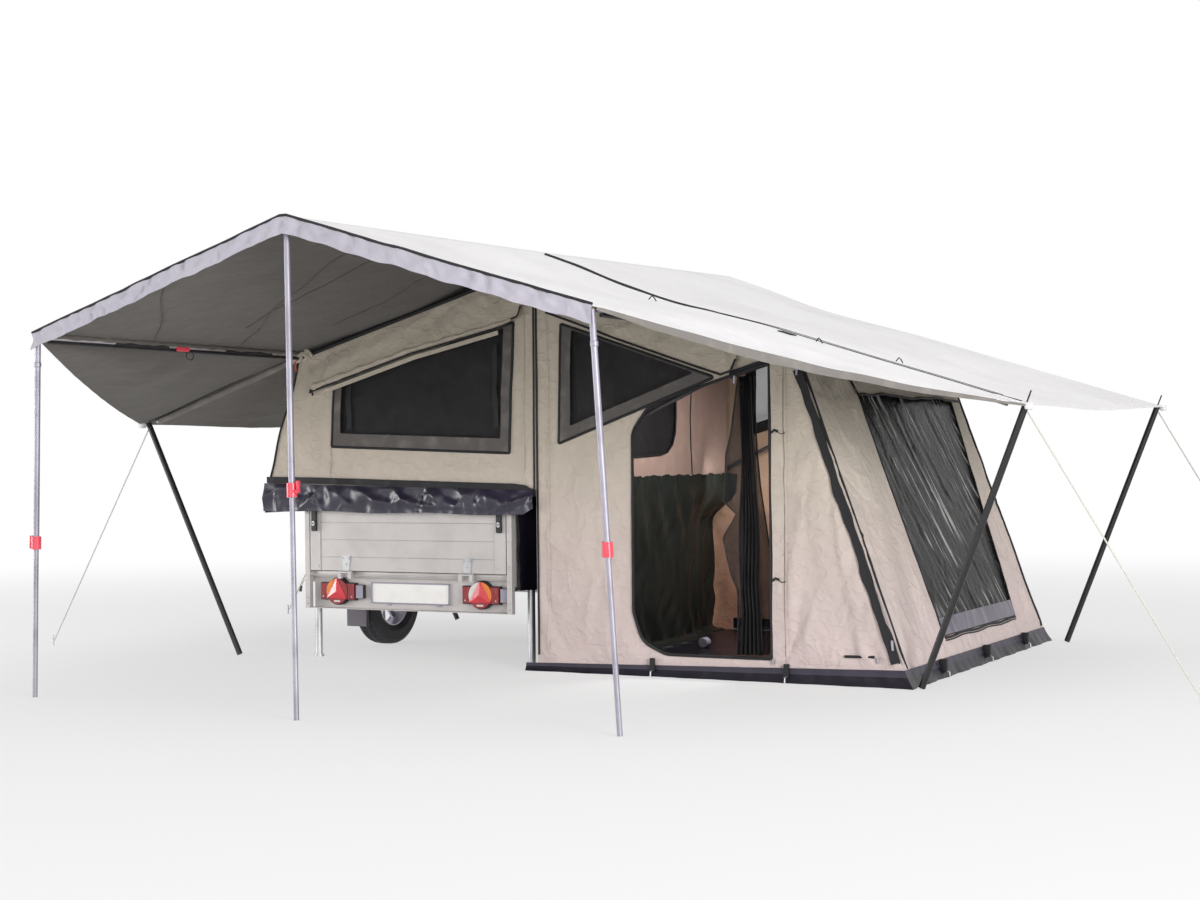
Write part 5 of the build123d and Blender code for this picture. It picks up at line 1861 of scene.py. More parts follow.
    def side_trims(self, wall: Wall, pane: Opening) -> None:
        """Sew flap, hem and piping round the clear window of the right wall.

        Args:
            wall: The right end wall.
            pane: Its window.
        """
        cloths, tapes, hem = Shape(), Shape(), Shape()
        low_edge, high_edge = pane.corners[0][1], pane.corners[2][1]
        low = [
            (y, high_edge - 0.03 + 0.006 * math.sin(y * 7) + 0.003 * math.sin(y * 19))
            for y in np.linspace(0.69, 2.5, 50)
        ]
        self.hood(wall, cloths, [(0.69, 1.855), (2.5, 1.855)], low, 0.022, 3.1)
        wall.piping(tapes, low, 0.007, 0.026)
        piece = self.put(cloths, "side_window_hood", (Finish.CANVAS,), angle=SOFT_EDGE)
        wall.piping(tapes, pane.edge(0.004), 0.004, 0.003, 0, True)
        wall.piping(tapes, [(LINES.front - 0.035, 0.1), (LINES.front - 0.035, 1.8)], 0.006, 0.006)
        wall.piping(tapes, [(0.035, 0.1), (0.035, 1.8)], 0.004, 0.003)
        for height, radius in ((low_edge - 0.006, 0.007), (low_edge - 0.02, 0.004)):
            line = [(y, height + 0.004 * math.sin(y * 13)) for y in np.linspace(0.75, 2.12, 40)]
            wall.piping(tapes, line, radius, 0.004)
        self.put(tapes, "side_piping", (Finish.TAPE,), slot="pvc_charcoal")
        wall.ribbon(hem, [(0.745, low_edge + 0.052), (2.135, low_edge + 0.052)], 0.098, 0.004)
        self.put(hem, "window_foot_band", (Finish.PVC_GREY,), slot="pvc_charcoal")

    def ground(self) -> None:
        """Lay the ground sheet and turn its band up the walls."""
        share, y = np.meshgrid(np.linspace(0, 1, 40), np.linspace(LINES.rear + 0.004, LINES.front - 0.004, 50))
        left = LINES.ridge[0] + 0.004 - self.curtain_draw(y)
        x = left + (LINES.base_right - 0.008 - left) * share
        z = 0.0035 + 0.0012 * ripples(x, y, 20.0, 0.3, 1.0)
        floor = Shape().cloth(Skin.grid(columns(x, y, z)))
        piece = self.put(floor, "ground_floor", (Finish.PVC_DARK,), slot="pvc_charcoal", nodes=("groundsheet",))
        skin = self.band_skin()
        band = Shape().cloth(skin, 0.003)
        per_row = len(skin.faces) // 5
        band.slots[3 * per_row : 5 * per_row] = [1] * (2 * per_row)
        finishes = (Finish.PVC_DARK, Finish.PVC_STRIP)
        piece = self.put(band, "ground_band", finishes, slot="pvc_charcoal", nodes=("groundsheet",))

    def band_skin(self) -> Skin:
        """Shape the dark band round the room's foot, flared on the ground.

        Returns:
            Its outer face.
        """
        right, rear, front = LINES.base_right, LINES.rear, LINES.front
        corners = [(0.8, rear), (right, rear), (right, front), (0.79, front)]
        spots = resample(corners, 0.03)
        run = distances(spots)
        tall = np.interp(run, (0.0, 2.18, 4.8, 6.9), (0.045, 0.092, 0.085, 0.085))
        aside = np.where(spots[:, 0] > right - TOUCH, 1.0, 0.0)
        away = np.where(spots[:, 1] < rear + TOUCH, -1.0, np.where(spots[:, 1] > front - TOUCH, 1.0, 0.0))
        rows = []
        for share in np.linspace(0, 1, 6):
            height = tall * share + 0.003 * (1 - share)
            flare = 0.005 + 0.014 * (1 - share) ** 2 + 0.004 * np.sin(run * 21) * (1 - share) + 0.002 * np.sin(run * 55)
            row = columns(spots[:, 0] + aside * flare, spots[:, 1] + away * flare, height)
            row[:, 0] -= np.where(spots[:, 0] > 2.2, LINES.lean * height * (spots[:, 0] - 0.87) / 2.115, 0.0)
            rows.append(row)
        return Skin.grid(rows)

    def curtain_draw(self, y: Array) -> Array:
        """How far the curtain's far end is drawn in under the bed."""
        return 0.16 * smooth_step(y, 1.75, 2.55)

    def curtain(self) -> None:
        """Hang the curtain below the bed and the cabin's inner wall above it."""
        y = np.linspace(LINES.rear + 0.012, LINES.front - 0.012, 260)
        rows = []
        laid = [(0.085, 0.008), (0.06, 0.012), (0.036, 0.012), (0.014, 0.02)]
        for out, z in laid + [(0.0, z) for z in np.linspace(0.035, self.curtain_top, 32)]:
            fold = 0.018 * ripples(y, z, 4.0, 0.24, 0.4) + 0.009 * ripples(y, z, -24.0, 0.13, 2.0)
            fold += 0.005 * crumple(y, z, 0.16, 0.3)
            gather = smooth_step(z, self.curtain_top - 0.09, self.curtain_top - 0.01)
            fold += 0.012 * ripples(y, z, 40.0, 0.05, 1.0) * gather
            level = z + 0.008 * np.sin(y * 47) * np.sin(y * 19) * gather
            draw = self.curtain_draw(y) * smooth_step(level, 0.93, 0.72)
            rows.append(columns(LINES.ridge[0] + 0.026 + out + fold - draw, y, level))
        shape = Shape().cloth(Skin.grid(rows))
        nodes = ("bed_curtain",)
        piece = self.put(shape, "bed_curtain_sheet", (Finish.CURTAIN,), slot="pvc_charcoal", nodes=nodes)
        cabin = Wall(
            (0.876, 0.0, 0.0),
            AHEAD,
            UP,
            [(0.066, 0.985), (2.534, 0.985), (2.534, 2.165), (0.066, 2.165)],
            [LINES.cabin_window.edge()],
            lambda a, b: 0.004 * ripples(a, b, 8.0, 0.22, 0.9) + 0.002 * ripples(a, b, -30.0, 0.3, 1.9),
        )
        shape = Shape().cloth(cabin.skin())
        piece = self.put(shape, "cabin_wall", (Finish.CABIN,), nodes=nodes, angle=SOFT_EDGE)
        self.net(cabin, LINES.cabin_window, "cabin_mesh")
        tapes = Shape()
        cabin.piping(tapes, LINES.cabin_window.edge(), 0.006, 0.002, 0, True)
        cabin.piping(tapes, [(1.98, 1.05), (1.96, 1.4), (2.0, 1.95)], 0.004, 0.003)
        self.put(tapes, "cabin_tapes", (Finish.TAPE,), slot="mesh_black")

    def skirts(self) -> None:
        """Hang the skirts over the edge of the box."""
        across, fall = np.meshgrid(np.linspace(LINES.deck_left, LINES.deck_right - 0.004, 200), np.linspace(0, 1, 22))
        ends = (LINES.deck_left, LINES.deck_right)
        top = np.interp(across, ends, (1.03, 0.985))
        bottom = np.interp(across, (*ends[:1], 0.8, ends[1]), (0.868, 0.851, 0.885)) + 0.004 * np.sin(across * 9)
        height = top + (bottom - top) * fall
        flat = across.ravel(), height.ravel()
        crease = 0.013 * crease_lines(*flat, 90, 4, 35.0, 60.0, 0.026, 0.1) + 0.024 * crumple(*flat, 0.3, 0.7) ** 2
        crease -= 0.014 * np.exp(-(((flat[0] - 0.14 - 0.3 * (flat[1] - 0.95)) / 0.01) ** 2))
        swing = np.sin(math.pi * np.minimum(fall * 1.15, 1.0) * 0.85)
        proud = 0.016 + crease.reshape(across.shape) * swing + 0.01 * fall
        rows = columns(across, LINES.rear - proud, height)
        shape = Shape().cloth(Skin.grid(rows, flip=True))
        piece = self.put(shape, "skirt_rear_sheet", (Finish.PVC,), slot="pvc_charcoal", nodes=("skirt_rear",))
        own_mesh(piece)
        corners = [(LINES.deck_right, LINES.front), (LINES.deck_left, LINES.front), (LINES.deck_left, LINES.rear)]
        spots = resample(corners, 0.03)
        run = distances(spots)
        away = np.where(spots[:, 1] > LINES.front - TOUCH, 1.0, 0.0)
        aside = np.where(spots[:, 0] < LINES.deck_left + TOUCH, -1.0, 0.0)
        rows = []
        for share in np.linspace(0, 1, 12):
            z = LINES.deck_top - 0.13 * share
            proud = 0.004 + 0.012 * crumple(run, z, 0.22, 1.7) * math.sin(math.pi * share * 0.8)
            rows.append(columns(spots[:, 0] + aside * proud, spots[:, 1] + away * proud, z))
        shape = Shape().cloth(Skin.grid(rows, flip=True))
        piece = self.put(shape, "skirt_sides_sheet", (Finish.PVC,), slot="pvc_charcoal", nodes=("skirt_sides",))

    def mattress(self) -> None:
        """Lay the mattress on the bed, crowned and with its sides drawn in."""
        low, high = np.array(self.pad_low), np.array(self.pad_high)
        middle, half = (low + high) / 2, (high - low) / 2
        turns = np.linspace(0, math.tau, 121)[:-1]
        round_x = np.sign(np.cos(turns)) * np.abs(np.cos(turns)) ** (1 / 7)
        round_y = np.sign(np.sin(turns)) * np.abs(np.sin(turns)) ** (1 / 7)
        rings = []
        for level in np.linspace(-1, 1, 13):
            bulge = 1 - 0.03 * abs(level) ** 6 - 0.012 * (1 - abs(level))
            rings.append((bulge, level * 0.94))
        for share in np.linspace(0.96, 0.04, 13):
            rings.append((share * 0.97, 0.94 + 0.06 * (1 - share**2) - 0.07 * math.cos(share * 40)))
        places = [columns(round_x * size, round_y * size, rise) for size, rise in rings]
        shape = Shape().loft(middle + half * np.array(places))
        piece = self.put(
            shape, "mattress_pad", (Finish.TICKING,), slot="mattress_cover", nodes=("mattress",), angle=SOFT_EDGE
        )


@dataclass
class Trailer(Assembly):
    """The trailer: rigid parts that keep their CAD shapes, with lenses, tyres and fittings made here."""

    lamp_x: float = 0.485
    lamp_z: float = 0.4
    lens_half: Flat = (0.1175, 0.046)
    disc_radius: float = 0.074
    triangle: float = 0.138
    plate_half: Flat = (0.26, 0.055)
    plate_z: float = 0.396
    gate_half: float = 0.59
    hinge_x: float = 0.41
    latch_x: float = 0.626
    wheel_x: float = 0.7805
    axle: Flat = (0.965, 0.281)
    tyre_radius: float = 0.281
    tread_half: float = 0.054
    tyre_steps: int = 144
    nut_circle: float = 0.05
    plank_joints: tuple[float, ...] = (0.6, 0.7, 0.8, 0.9)
    gate_edge: Flat = (0.523, 0.952)
    flap_x: Flat = (0.712, 0.856)
    flap_y: float = 0.6345
    flap_z: Flat = (0.136, 0.4)
    apron_x: float = 0.735
    apron_z: Flat = (0.43, 0.958)

    def build(self) -> None:
        """Give every rigid node its finish and add the fittings."""
        self.finishes()
        self.lamps()
        self.plate()
        self.gate()
        for side, name in ((-1, "left"), (1, "right")):
            self.tyre(side, name)
            self.hub(side, name)
            self.mud_flap(side, name)
        self.fittings()
        self.apron()

    def apron(self) -> None:
        """Hang a dark sheet from the bed beside the box, bowed out round the prop stand."""
        y = np.linspace(0.03, 0.6, 40)
        bow = 0.05 * np.exp(-(((y - 0.165) / 0.06) ** 2))
        rows = []
        for z in np.linspace(*self.apron_z, 24):
            fold = 0.008 * ripples(y, z, 6.0, 0.17, 0.9) + 0.005 * ripples(y, z, -40.0, 0.11, 2.0)
            rows.append(columns(self.apron_x + bow + fold, y, z))
        shape = Shape().cloth(Skin.grid(rows))
        piece = self.put(shape, "box_apron", (Finish.PVC_DARK,), slot="pvc_charcoal")

    def finishes(self) -> None:
        """Dress the CAD nodes."""
        dress = self.site.dress
        dress(Finish.ZINC, "chassis_frame", "drawbar", "axle_beam", "stand_left", "stand_right", "stand_clamps")
        dress(Finish.ZINC, "tailgate_hinges", "jockey_bracket", "jockey_stem", "jockey_fork", "coupling_head")
        dress(Finish.ALUMINIUM, "side_panel_left", "side_panel_right", "front_panel", "rear_frame", "tailgate_panel")
        dress(Finish.ALLOY, "rim_left", "rim_right")
        dress(Finish.BLACK, "mudguard_left", "mudguard_right", "lamp_housings", "tailgate_latches")
        dress(Finish.RUBBER, "jockey_wheel")
        dress(Finish.PLATE, "number_plate")
        dress(Finish.PLYWOOD, "floor_panel", "bed_deck")
        dress(Finish.BAR, "fly_bars")
        dress(Finish.BAR_DARK, "tent_frame")
        dress(Finish.POLE, "porch_poles")
        dress(Finish.RED, "pole_clamps")
        dress(Finish.POLE_BLACK, "corner_poles")
        dress(Finish.ROPE, "guy_stays")
        dress(Finish.ZINC, "pegs")

    def lamps(self) -> None:
        """Make the rear lamps' lenses: red box, two-colour disc, red triangle and side block."""
        shape = Shape()
        wide, tall = self.lens_half
        for side in (-1, 1):
            x, z = side * self.lamp_x, self.lamp_z
            for rib in np.linspace(-wide, wide, 15)[:-1]:
                shape.block((x + rib, 0.0155, z - tall), (x + rib + wide / 7, 0.025, z + tall), 0.003)
            right_slot, left_slot = (1, 2) if side > 0 else (0, 1)
            for low, high, slot in ((-25, 90, right_slot), (90, 205, left_slot), (205, 335, 0)):
                arc = [
                    (x + self.disc_radius * math.cos(turn), z + self.disc_radius * math.sin(turn))
                    for turn in np.radians(np.linspace(low, high, 15))
                ]
                middle = [(x, z)] if high - low < 120 else []
                shape.loft(np.array([[(a, y, b) for a, b in middle + arc] for y in (0.0165, 0.0115)]), slot)
            shape.block((x - 0.022, 0.0105, z - 0.062), (x + 0.022, 0.014, z - 0.052), 0.002, 2)
            for screw in (-0.1, 0.1):
                shape.block((x + screw - 0.004, 0.013, z - 0.034), (x + screw + 0.004, 0.018, z - 0.026), 0.002, 2)
            self.triangle_lens(shape, x, z)
            shape.block((x + 0.1275, 0.018, z - 0.038), (x + 0.1755, 0.025, z + 0.038), 0.005, 3)
        finishes = (Finish.LENS_RED, Finish.LENS_AMBER, Finish.LENS_CLEAR, Finish.HOLDER, Finish.LENS_BRIGHT)
        self.put(shape, "lamp_lens_set", finishes, slot="lamp_red", nodes=("lamp_lenses",), angle=12)

    def triangle_lens(self, shape: Shape, x: float, z: float) -> None:
        """Add the faceted triangle in front of a lamp's disc.

        Args:
            shape: The shape it is added to.
            x: X of the disc's middle.
            z: Z of the disc's middle.
        """
        apex = z + self.triangle / math.sqrt(3)
        base = z - self.triangle / (2 * math.sqrt(3))
        corners = [(x - self.triangle / 2, base), (x + self.triangle / 2, base), (x, apex)]
        points = [(cx, 0.0085, cz) for cx, cz in corners] + [(cx, 0.0118, cz) for cx, cz in corners]
        points.append((x, 0.0, z))
        faces = [(0, 1, 6), (1, 2, 6), (2, 0, 6), (0, 3, 4, 1), (1, 4, 5, 2), (2, 5, 3, 0), (5, 4, 3)]
        shape.take(points, faces, 4)

    def plate(self) -> None:
        """Frame the number plate in its holder."""
        wide, tall = self.plate_half
        low, high = self.plate_z - tall, self.plate_z + tall
        shape = Shape()
        for z in (low - 0.006, high - 0.001):
            shape.block((-wide - 0.006, 0.04, z), (wide + 0.006, 0.0508, z + 0.007), 0.002)
        for x in (-wide - 0.006, wide - 0.001):
            shape.block((x, 0.04, low - 0.005), (x + 0.007, 0.0508, high + 0.005), 0.002)
        for x in (-0.16, 0.18):
            shape.block((x, 0.044, low - 0.016), (x + 0.03, 0.0505, low - 0.006), 0.002)
        self.put(shape, "plate_holder", (Finish.HOLDER,), slot="black_plastic")

    def gate(self) -> None:
        """Lay darker strips in the tailgate's plank joints and edge grooves as painted shade, and add hinge bolts and
        latch locks.
        """
        shape = Shape()
        # darker strips laid in the plank joints and along the edges: painted shade
        for z in self.plank_joints:
            shape.block((-self.gate_half, 0.0042, z - 0.0016), (self.gate_half, 0.0062, z + 0.0016), 0.0005)
        low, high = self.gate_edge
        for edge in (-self.gate_half, self.gate_half):
            shape.block((edge - 0.0015, 0.0005, low), (edge + 0.0015, 0.0045, high), 0.0005)
        self.put(shape, "gate_groove_shade", (Finish.GROOVE_SHADE,), "tailgate", "aluminium")
        bolts = Shape()
        head = [(0.0, -0.004), (0.0045, -0.004), (0.0065, -0.002), (0.0065, 0.001)]
        for side in (-1, 1):
            x = side * self.hinge_x
            for across, z in ((-0.02, 0.594), (0.02, 0.594), (0.0, 0.56)):
                bolts.lathe(head, (x + across, -0.001, z), AHEAD, 12)
            lock = [(0.0, -0.005), (0.009, -0.005), (0.011, -0.002), (0.011, 0.001)]
            for z in (0.8, 0.79):
                bolts.lathe(lock, (side * self.latch_x, -0.018, z), AHEAD, 16)
            for z in (0.545, 0.93):
                bolts.lathe(head, (side * 0.605, 0.0, z), AHEAD, 10)
        self.put(bolts, "gate_bolts", (Finish.ZINC,), "tailgate", "galvanised")

    def tyre(self, side: int, name: str) -> None:
        """Make one tyre with ribs, grooves and cross cuts.

        Args:
            side: -1 for left, 1 for right.
            name: Its side's name.
        """
        wall = [(0.166, 0.05), (0.176, 0.062), (0.196, 0.0685), (0.199, 0.0718), (0.204, 0.07), (0.238, 0.0725)]
        wall += [(0.25, 0.0705), (0.253, 0.0722), (0.257, 0.069), (0.274, 0.06)]
        tread = np.linspace(-self.tread_half, self.tread_half, 28)
        profile = [(radius, -offset) for radius, offset in wall]
        profile += [(self.tyre_radius - 0.004 * (abs(offset) / self.tread_half) ** 4, offset) for offset in tread]
        profile += [(radius, offset) for radius, offset in reversed(wall)]
        rows = []
        for step in range(self.tyre_steps):
            turn = math.tau * step / self.tyre_steps
            ahead, up = math.cos(turn), math.sin(turn)
            ring = []
            for radius, offset in profile:
                groove = abs(abs(offset) - 0.016) < 0.0035 or abs(abs(offset) - 0.036) < 0.0035
                cut = step % 4 == 0 and 0.02 < abs(offset) < 0.056
                depth = 0.007 if groove else (0.005 if cut and radius > 0.26 else 0.0)
                reach = radius - depth
                ring.append((side * self.wheel_x + offset, self.axle[0] + reach * ahead, self.axle[1] + reach * up))
            rows.append(ring)
        shape = Shape().loft(np.array(rows)[:, ::-1], joined=True)
        self.put(
            shape, f"tyre_{name}_tread", (Finish.TYRE,), f"wheel_{name}", "tyre_rubber", (f"tyre_{name}",), 35
        )

    def hub(self, side: int, name: str) -> None:
        """Add a hub cap and five wheel nuts to a rim.

        Args:
            side: -1 for left, 1 for right.
            name: Its side's name.
        """
        shape = Shape()
        face = side * (self.wheel_x + 0.036)
        cap = [(0.03, 0.0), (0.03, 0.01), (0.024, 0.016), (0.0, 0.018)]
        shape.lathe(cap, (face, *self.axle), (float(side), 0.0, 0.0), 24)
        nut = [(0.009, -0.004), (0.009, 0.01), (0.006, 0.014), (0.0, 0.014)]
        for step in range(5):
            turn = math.tau * step / 5
            ahead, up = self.nut_circle * math.cos(turn), self.nut_circle * math.sin(turn)
            shape.lathe(nut, (face, self.axle[0] + ahead, self.axle[1] + up), (float(side), 0.0, 0.0), 6)
        self.put(shape, f"hub_{name}", (Finish.ZINC,), f"wheel_{name}", "alloy")

    def mud_flap(self, side: int, name: str) -> None:
        """Face a mudguard's flap with its grey sheet.

        Args:
            side: -1 for left, 1 for right.
            name: Its side's name.
        """
        low, high = sorted(side * x for x in self.flap_x)
        spots = np.linspace(low, high, 8)
        rows = []
        for z in np.linspace(*self.flap_z, 10):
            bow = 0.002 * np.sin(spots * 60 + z * 9)
            rows.append(columns(spots, self.flap_y - np.abs(bow), z))
        shape = Shape().cloth(Skin.grid(rows), -0.0012)
        self.put(shape, f"mud_flap_{name}", (Finish.FLAP_GREY,), slot="rubber")

    def fittings(self) -> None:
        """Add the side lanyard, post screws and the edge strips of the light channel."""
        shape = Shape()
        cord = resample([(-0.702, 0.012, 0.47), (-0.716, 0.004, 0.455), (-0.73, 0.0, 0.425)], 0.01)
        shape.tube(cord, 0.003, 8)
        shape.tube(np.array([(-0.729, 0.0, 0.428), (-0.737, -0.002, 0.395)]), np.array((0.006, 0.009)), 10, 1)
        shape.block((-0.672, 0.026, 0.482), (0.672, 0.0318, 0.5165), 0.002, 2)
        shape.block((0.838, -0.0245, 0.952), (0.8695, -0.0195, 0.99), 0.002, 1)
        head = [(0.0, -0.003), (0.004, -0.003), (0.005, -0.001), (0.005, 0.001)]
        for side in (-1, 1):
            for z in (0.325, 0.36, 0.44, 0.475, 0.56, 0.7, 0.86):
                shape.lathe(head, (side * 0.684, 0.0, z), AHEAD, 8)
        self.put(shape, "box_fittings", (Finish.ZINC, Finish.BLACK, Finish.ALUMINIUM), slot="galvanised")


@dataclass
class Rigging(Assembly):
    """Sleeves, clamps and small fittings on poles and bars."""

    bar_drop: Point = (0.004, 0.0, -0.0187)
    rear_straps: Flat = (1.575, 2.335)
    side_straps: Point = (0.525, 1.32, 2.11)

    def build(self) -> None:
        """Make the sleeves, pole fittings and ground straps."""
        self.sleeves()
        self.pole_fittings()
        self.straps()
        self.ties()

    def ties(self) -> None:
        """Knot the cloth's ends and cords at the rear eaves."""
        shape = Shape()
        turns = np.linspace(0, 5 * math.pi, 60)
        for side, (x, z) in ((1, LINES.eave_left), (-1, LINES.eave_right)):
            knot = columns(
                x + side * (0.008 * turns + 0.016 * np.sin(2.3 * turns) - 0.03),
                LINES.rear - 0.02 + 0.01 * np.sin(1.7 * turns),
                z - 0.012 + 0.018 * np.cos(1.9 * turns) + 0.003 * turns,
            )
            shape.tube(knot, 0.009 + 0.003 * np.sin(turns * 3), 8)
            cord = [(x, -0.036, z), (x - side * 0.022, -0.04, z - 0.02), (x - side * 0.018, -0.034, z - 0.075)]
            shape.tube(resample(cord, 0.01), 0.005, 8, 1)
        self.put(shape, "eave_ties", (Finish.CANVAS, Finish.KNOT))

    def sleeves(self) -> None:
        """Cover the eave bars with black channel and the flap rafters with grey cloth."""
        folds = LINES.stations()
        black, cloth = Shape(), Shape()
        for side, eave, tip in ((1, 1, 0), (-1, 3, 4)):
            drop = np.array((side * self.bar_drop[0], 0.0, self.bar_drop[2]))
            start, end = folds[0, eave] + drop, folds[1, eave] + drop
            for low, high, below, radius, sides, slot in (
                (0.27, 0.46, 0.003, 0.0155, 12, 0),
                (0.68, 0.87, 0.003, 0.0155, 12, 0),
                (0.04, 0.99, 0.021, 0.0095, 10, 0),
                (0.49, 0.535, 0.008, 0.02, 14, 1),
            ):
                path = start + (end - start) * np.array(((low,), (high,))) - (0.0, 0.0, below)
                black.tube(path, radius, sides, slot)
            hang = start + (end - start) * 0.545 - (0.0, 0.0, 0.046)
            turns = np.linspace(0, math.tau, 25)[:-1]
            black.tube(hang + columns(0.0, 0.03 * np.sin(turns), 0.022 * np.cos(turns)), 0.0025, 6, closed=True)
            for row, inward in ((1, 0.034), (2, -0.034)):
                top, low = folds[row, eave], folds[row, tip]
                way = (low - top) / np.linalg.norm(low - top)
                normal = np.array((-way[2], 0.0, way[0])) * side * -1
                axis = np.array((0.0, inward, -0.006)) - normal * 0.0195
                reach = np.linspace(0.05, np.linalg.norm(low - top) - 0.12, 24)
                path = top + way * reach[:, None] + axis
                cloth.tube(path, 0.0185 + 0.0012 * np.sin(np.arange(24) * 1.7), 12)
        self.put(black, "eave_bar_covers", (Finish.BLACK, Finish.RED), slot="pole_black")
        piece = self.put(cloth, "rafter_sleeves", (Finish.HEM,), slot="fly_cloth")

    def pole_fittings(self) -> None:
        """Put collars on the porch poles and a hook on the middle clamp."""
        shape = Shape()
        ring = [(0.015, -0.012), (0.0178, -0.009), (0.0178, 0.009), (0.015, 0.012)]
        for x, y, z in ((-0.843, -1.9895, 1.65), (2.2807, -1.9895, 1.64)):
            shape.lathe(ring, (x, y, z), UP, 16)
        shape.block((0.786, -2.092, 1.016), (0.812, -2.064, 1.03), 0.003, 1)
        shape.block((0.802, -2.088, 1.022), (0.814, -2.068, 1.072), 0.003, 1)
        for x, y, z in ((-0.8658, -1.9895, 0.767), (2.3446, -1.9895, 0.776)):
            shape.block((x - 0.034, y - 0.012, z - 0.028), (x - 0.02, y + 0.012, z + 0.036), 0.003, 1)
        self.put(shape, "pole_fittings", (Finish.POLE, Finish.RED), slot="pole_aluminium")

    def straps(self) -> None:
        """Buckle short straps from the band down to hooked pegs."""
        shape = Shape()
        for x in self.rear_straps:
            shape.block((x - 0.014, LINES.rear - 0.026, 0.03), (x + 0.014, LINES.rear - 0.01, 0.1), 0.003)
            hook = [(x, LINES.rear - 0.024, 0.036), (x, LINES.rear - 0.04, 0.03), (x, LINES.rear - 0.042, 0.004)]
            shape.tube(resample(hook, 0.01), 0.004, 8, 1)
        for y in self.side_straps:
            x = LINES.base_right
            shape.block((x - 0.022, y - 0.014, 0.03), (x + 0.018, y + 0.014, 0.096), 0.003)
            hook = [(x + 0.014, y, 0.036), (x + 0.03, y, 0.03), (x + 0.032, y, 0.004)]
            shape.tube(resample(hook, 0.01), 0.004, 8, 1)
        self.put(shape, "ground_straps", (Finish.TAPE, Finish.ZINC), slot="pvc_charcoal")


@dataclass(frozen=True)
class Lamp:
    """A square soft lamp: where it hangs, what it points at, its side and its watts."""

    name: str
    place: Point
    aim: Point
    size: float
    power: float


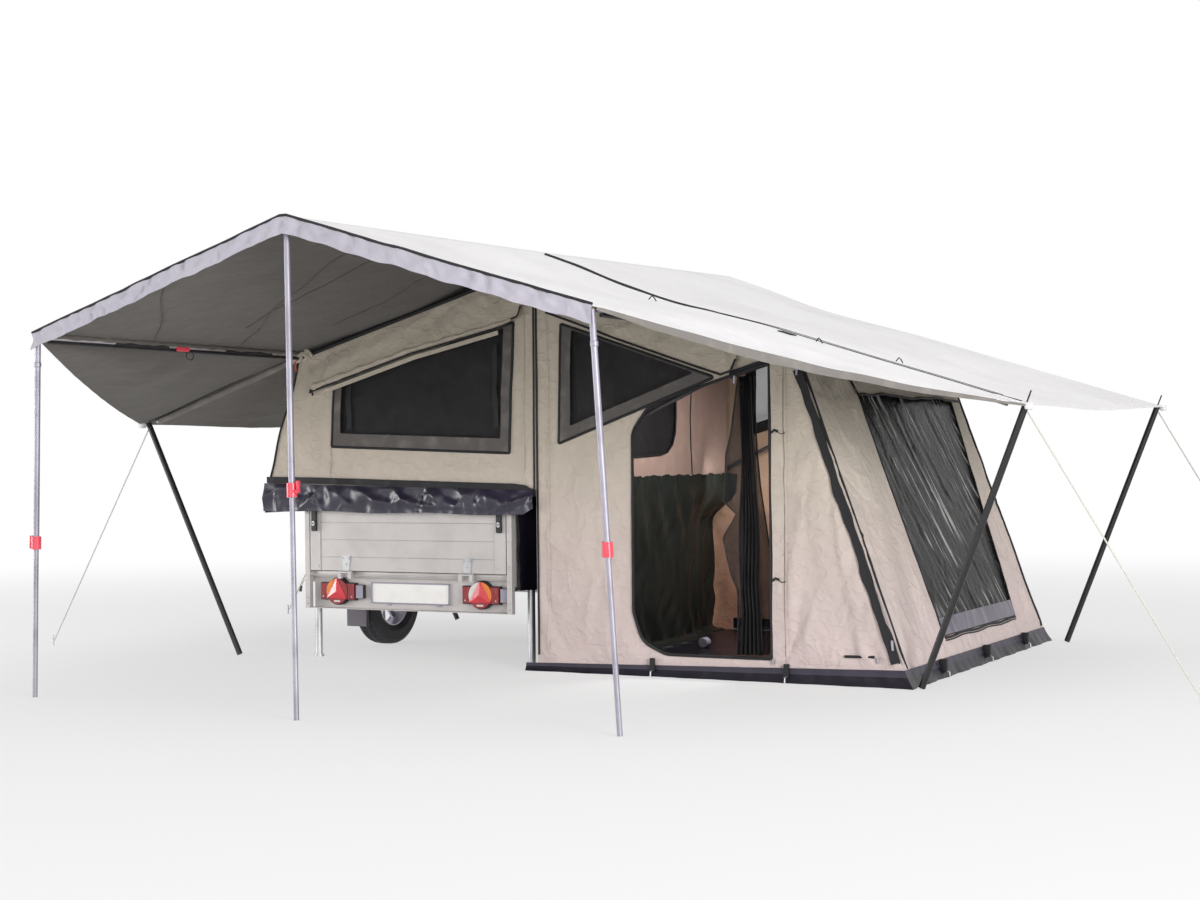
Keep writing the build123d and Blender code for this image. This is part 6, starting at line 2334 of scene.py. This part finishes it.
@dataclass
class Studio(Assembly):
    """Camera, floor and soft light."""

    eye: Point = (5.99615, -9.00978, 1.16563)
    yaw: float = 27.75
    roll: float = 0.594
    lens: float = 56.854
    rise: float = 0.00556
    floor_half: float = 60.0
    lamps: tuple[Lamp, ...] = (
        Lamp("key_light", (13.0, -7.5, 3.2), (0.9, 0.0, 1.0), 5.0, 1250.0),
        Lamp("side_light", (-9.0, -4.6, 1.6), (0.2, 0.0, 1.3), 4.0, 430.0),
        Lamp("fill_light", (1.5, -12.0, 1.8), (0.9, 0.0, 1.0), 5.0, 220.0),
        Lamp("top_light", (2.5, 1.0, 10.5), (0.9, 0.5, 1.0), 9.0, 178.0),
        Lamp("room_light", (1.9, 1.2, 1.75), (1.7, 1.2, 0.0), 0.8, 30.0),
        Lamp("far_light", (1.1, 2.25, 0.95), (0.86, 2.62, 0.85), 0.4, 0.9),
    )

    def build(self) -> None:
        """Set up camera, floor, world and lamps."""
        self.camera()
        self.floor()
        self.world()
        for lamp in self.lamps:
            self.light(lamp)
        bpy.context.scene.view_settings.view_transform = "Standard"

    def camera(self) -> None:
        """Stand the camera where the photograph was taken from."""
        data = bpy.data.cameras.new("photo_camera")
        data.sensor_width = 36.0
        data.lens = self.lens
        data.shift_y = self.rise
        data.clip_end = 500.0
        camera = bpy.data.objects.new("photo_camera", data)
        turn = Matrix.Rotation(math.radians(self.yaw), 4, "Z") @ Matrix.Rotation(math.pi / 2, 4, "X")
        turn = turn @ Matrix.Rotation(math.radians(-self.roll), 4, "Z")
        camera.matrix_world = Matrix.Translation(Vector(self.site.shift + np.asarray(self.eye))) @ turn
        bpy.context.scene.collection.objects.link(camera)
        bpy.context.scene.camera = camera

    def light(self, lamp: Lamp) -> None:
        """Hang one lamp.

        Args:
            lamp: Its place, aim, size and power.
        """
        data = bpy.data.lights.new(lamp.name, "AREA")
        data.size = lamp.size
        data.energy = lamp.power
        square = bpy.data.objects.new(lamp.name, data)
        place, aim = self.site.shift + lamp.place, self.site.shift + lamp.aim
        turn = Vector(aim - place).to_track_quat("-Z", "Y").to_matrix().to_4x4()
        square.matrix_world = Matrix.Translation(Vector(place)) @ turn
        bpy.context.scene.collection.objects.link(square)

    def floor(self) -> None:
        """Lay a pale floor that fades into the white background."""
        spots = np.linspace(-self.floor_half, self.floor_half, 9)
        grid = np.array(np.meshgrid(spots, spots))
        skin = Skin.grid(columns(*grid, 0.0))
        mesh = bpy.data.meshes.new("studio_floor")
        mesh.from_pydata(skin.points.tolist(), [], skin.faces)
        floor = bpy.data.objects.new("studio_floor", mesh)
        recipe = Recipe("studio_floor")
        speck = recipe.noise(1.5, 3.0)
        tone = recipe.mix(speck * 0.3, (232, 232, 232), (226, 226, 226))
        matte = recipe.add("BsdfDiffuse", inputs={"Color": tone})
        glow = recipe.add("Emission", inputs={"Color": (1.0, 1.0, 1.0, 1.0), "Strength": 1.0})
        far = recipe.add("VectorMath", {"operation": "LENGTH"}, {0: recipe.place()}, output="Value")
        white = (far.mask(4.0, 13.0) * 0.45 + 0.55) * recipe.seen()
        both = recipe.add("MixShader", inputs={0: white, 1: matte, 2: glow})
        recipe.add("OutputMaterial", inputs={"Surface": both})
        mesh.materials.append(recipe.material)
        bpy.context.scene.collection.objects.link(floor)

    def world(self) -> None:
        """Light everything evenly, on a background that is white to the camera and in reflections."""
        world = bpy.data.worlds.new("studio_world")
        world.use_nodes = True
        bpy.context.scene.world = world
        recipe = Recipe("studio_world", world.node_tree)
        even = {"Color": (1.0, 1.0, 1.0, 1.0)}
        soft = recipe.add("Background", inputs={**even, "Strength": 0.55})
        white = recipe.add("Background", inputs={**even, "Strength": 1.0})
        both = recipe.add("MixShader", inputs={0: recipe.seen(), 1: soft, 2: white})
        recipe.add("OutputWorld", inputs={"Surface": both})


def main() -> None:
    """Load the frame and build every sub-assembly."""
    logging.basicConfig(level=logging.INFO, format="%(name)s %(message)s")
    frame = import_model()
    deck = np.array(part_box("bed_deck")[0])
    site = Site(frame["nodes"], deck - np.array((LINES.deck_left, LINES.rear, LINES.deck_bottom)))
    for assembly in (Studio(site), Trailer(site), Tent(site), FlySheet(site), Rigging(site)):
        assembly.build()


if __name__ == "__main__":
    main()
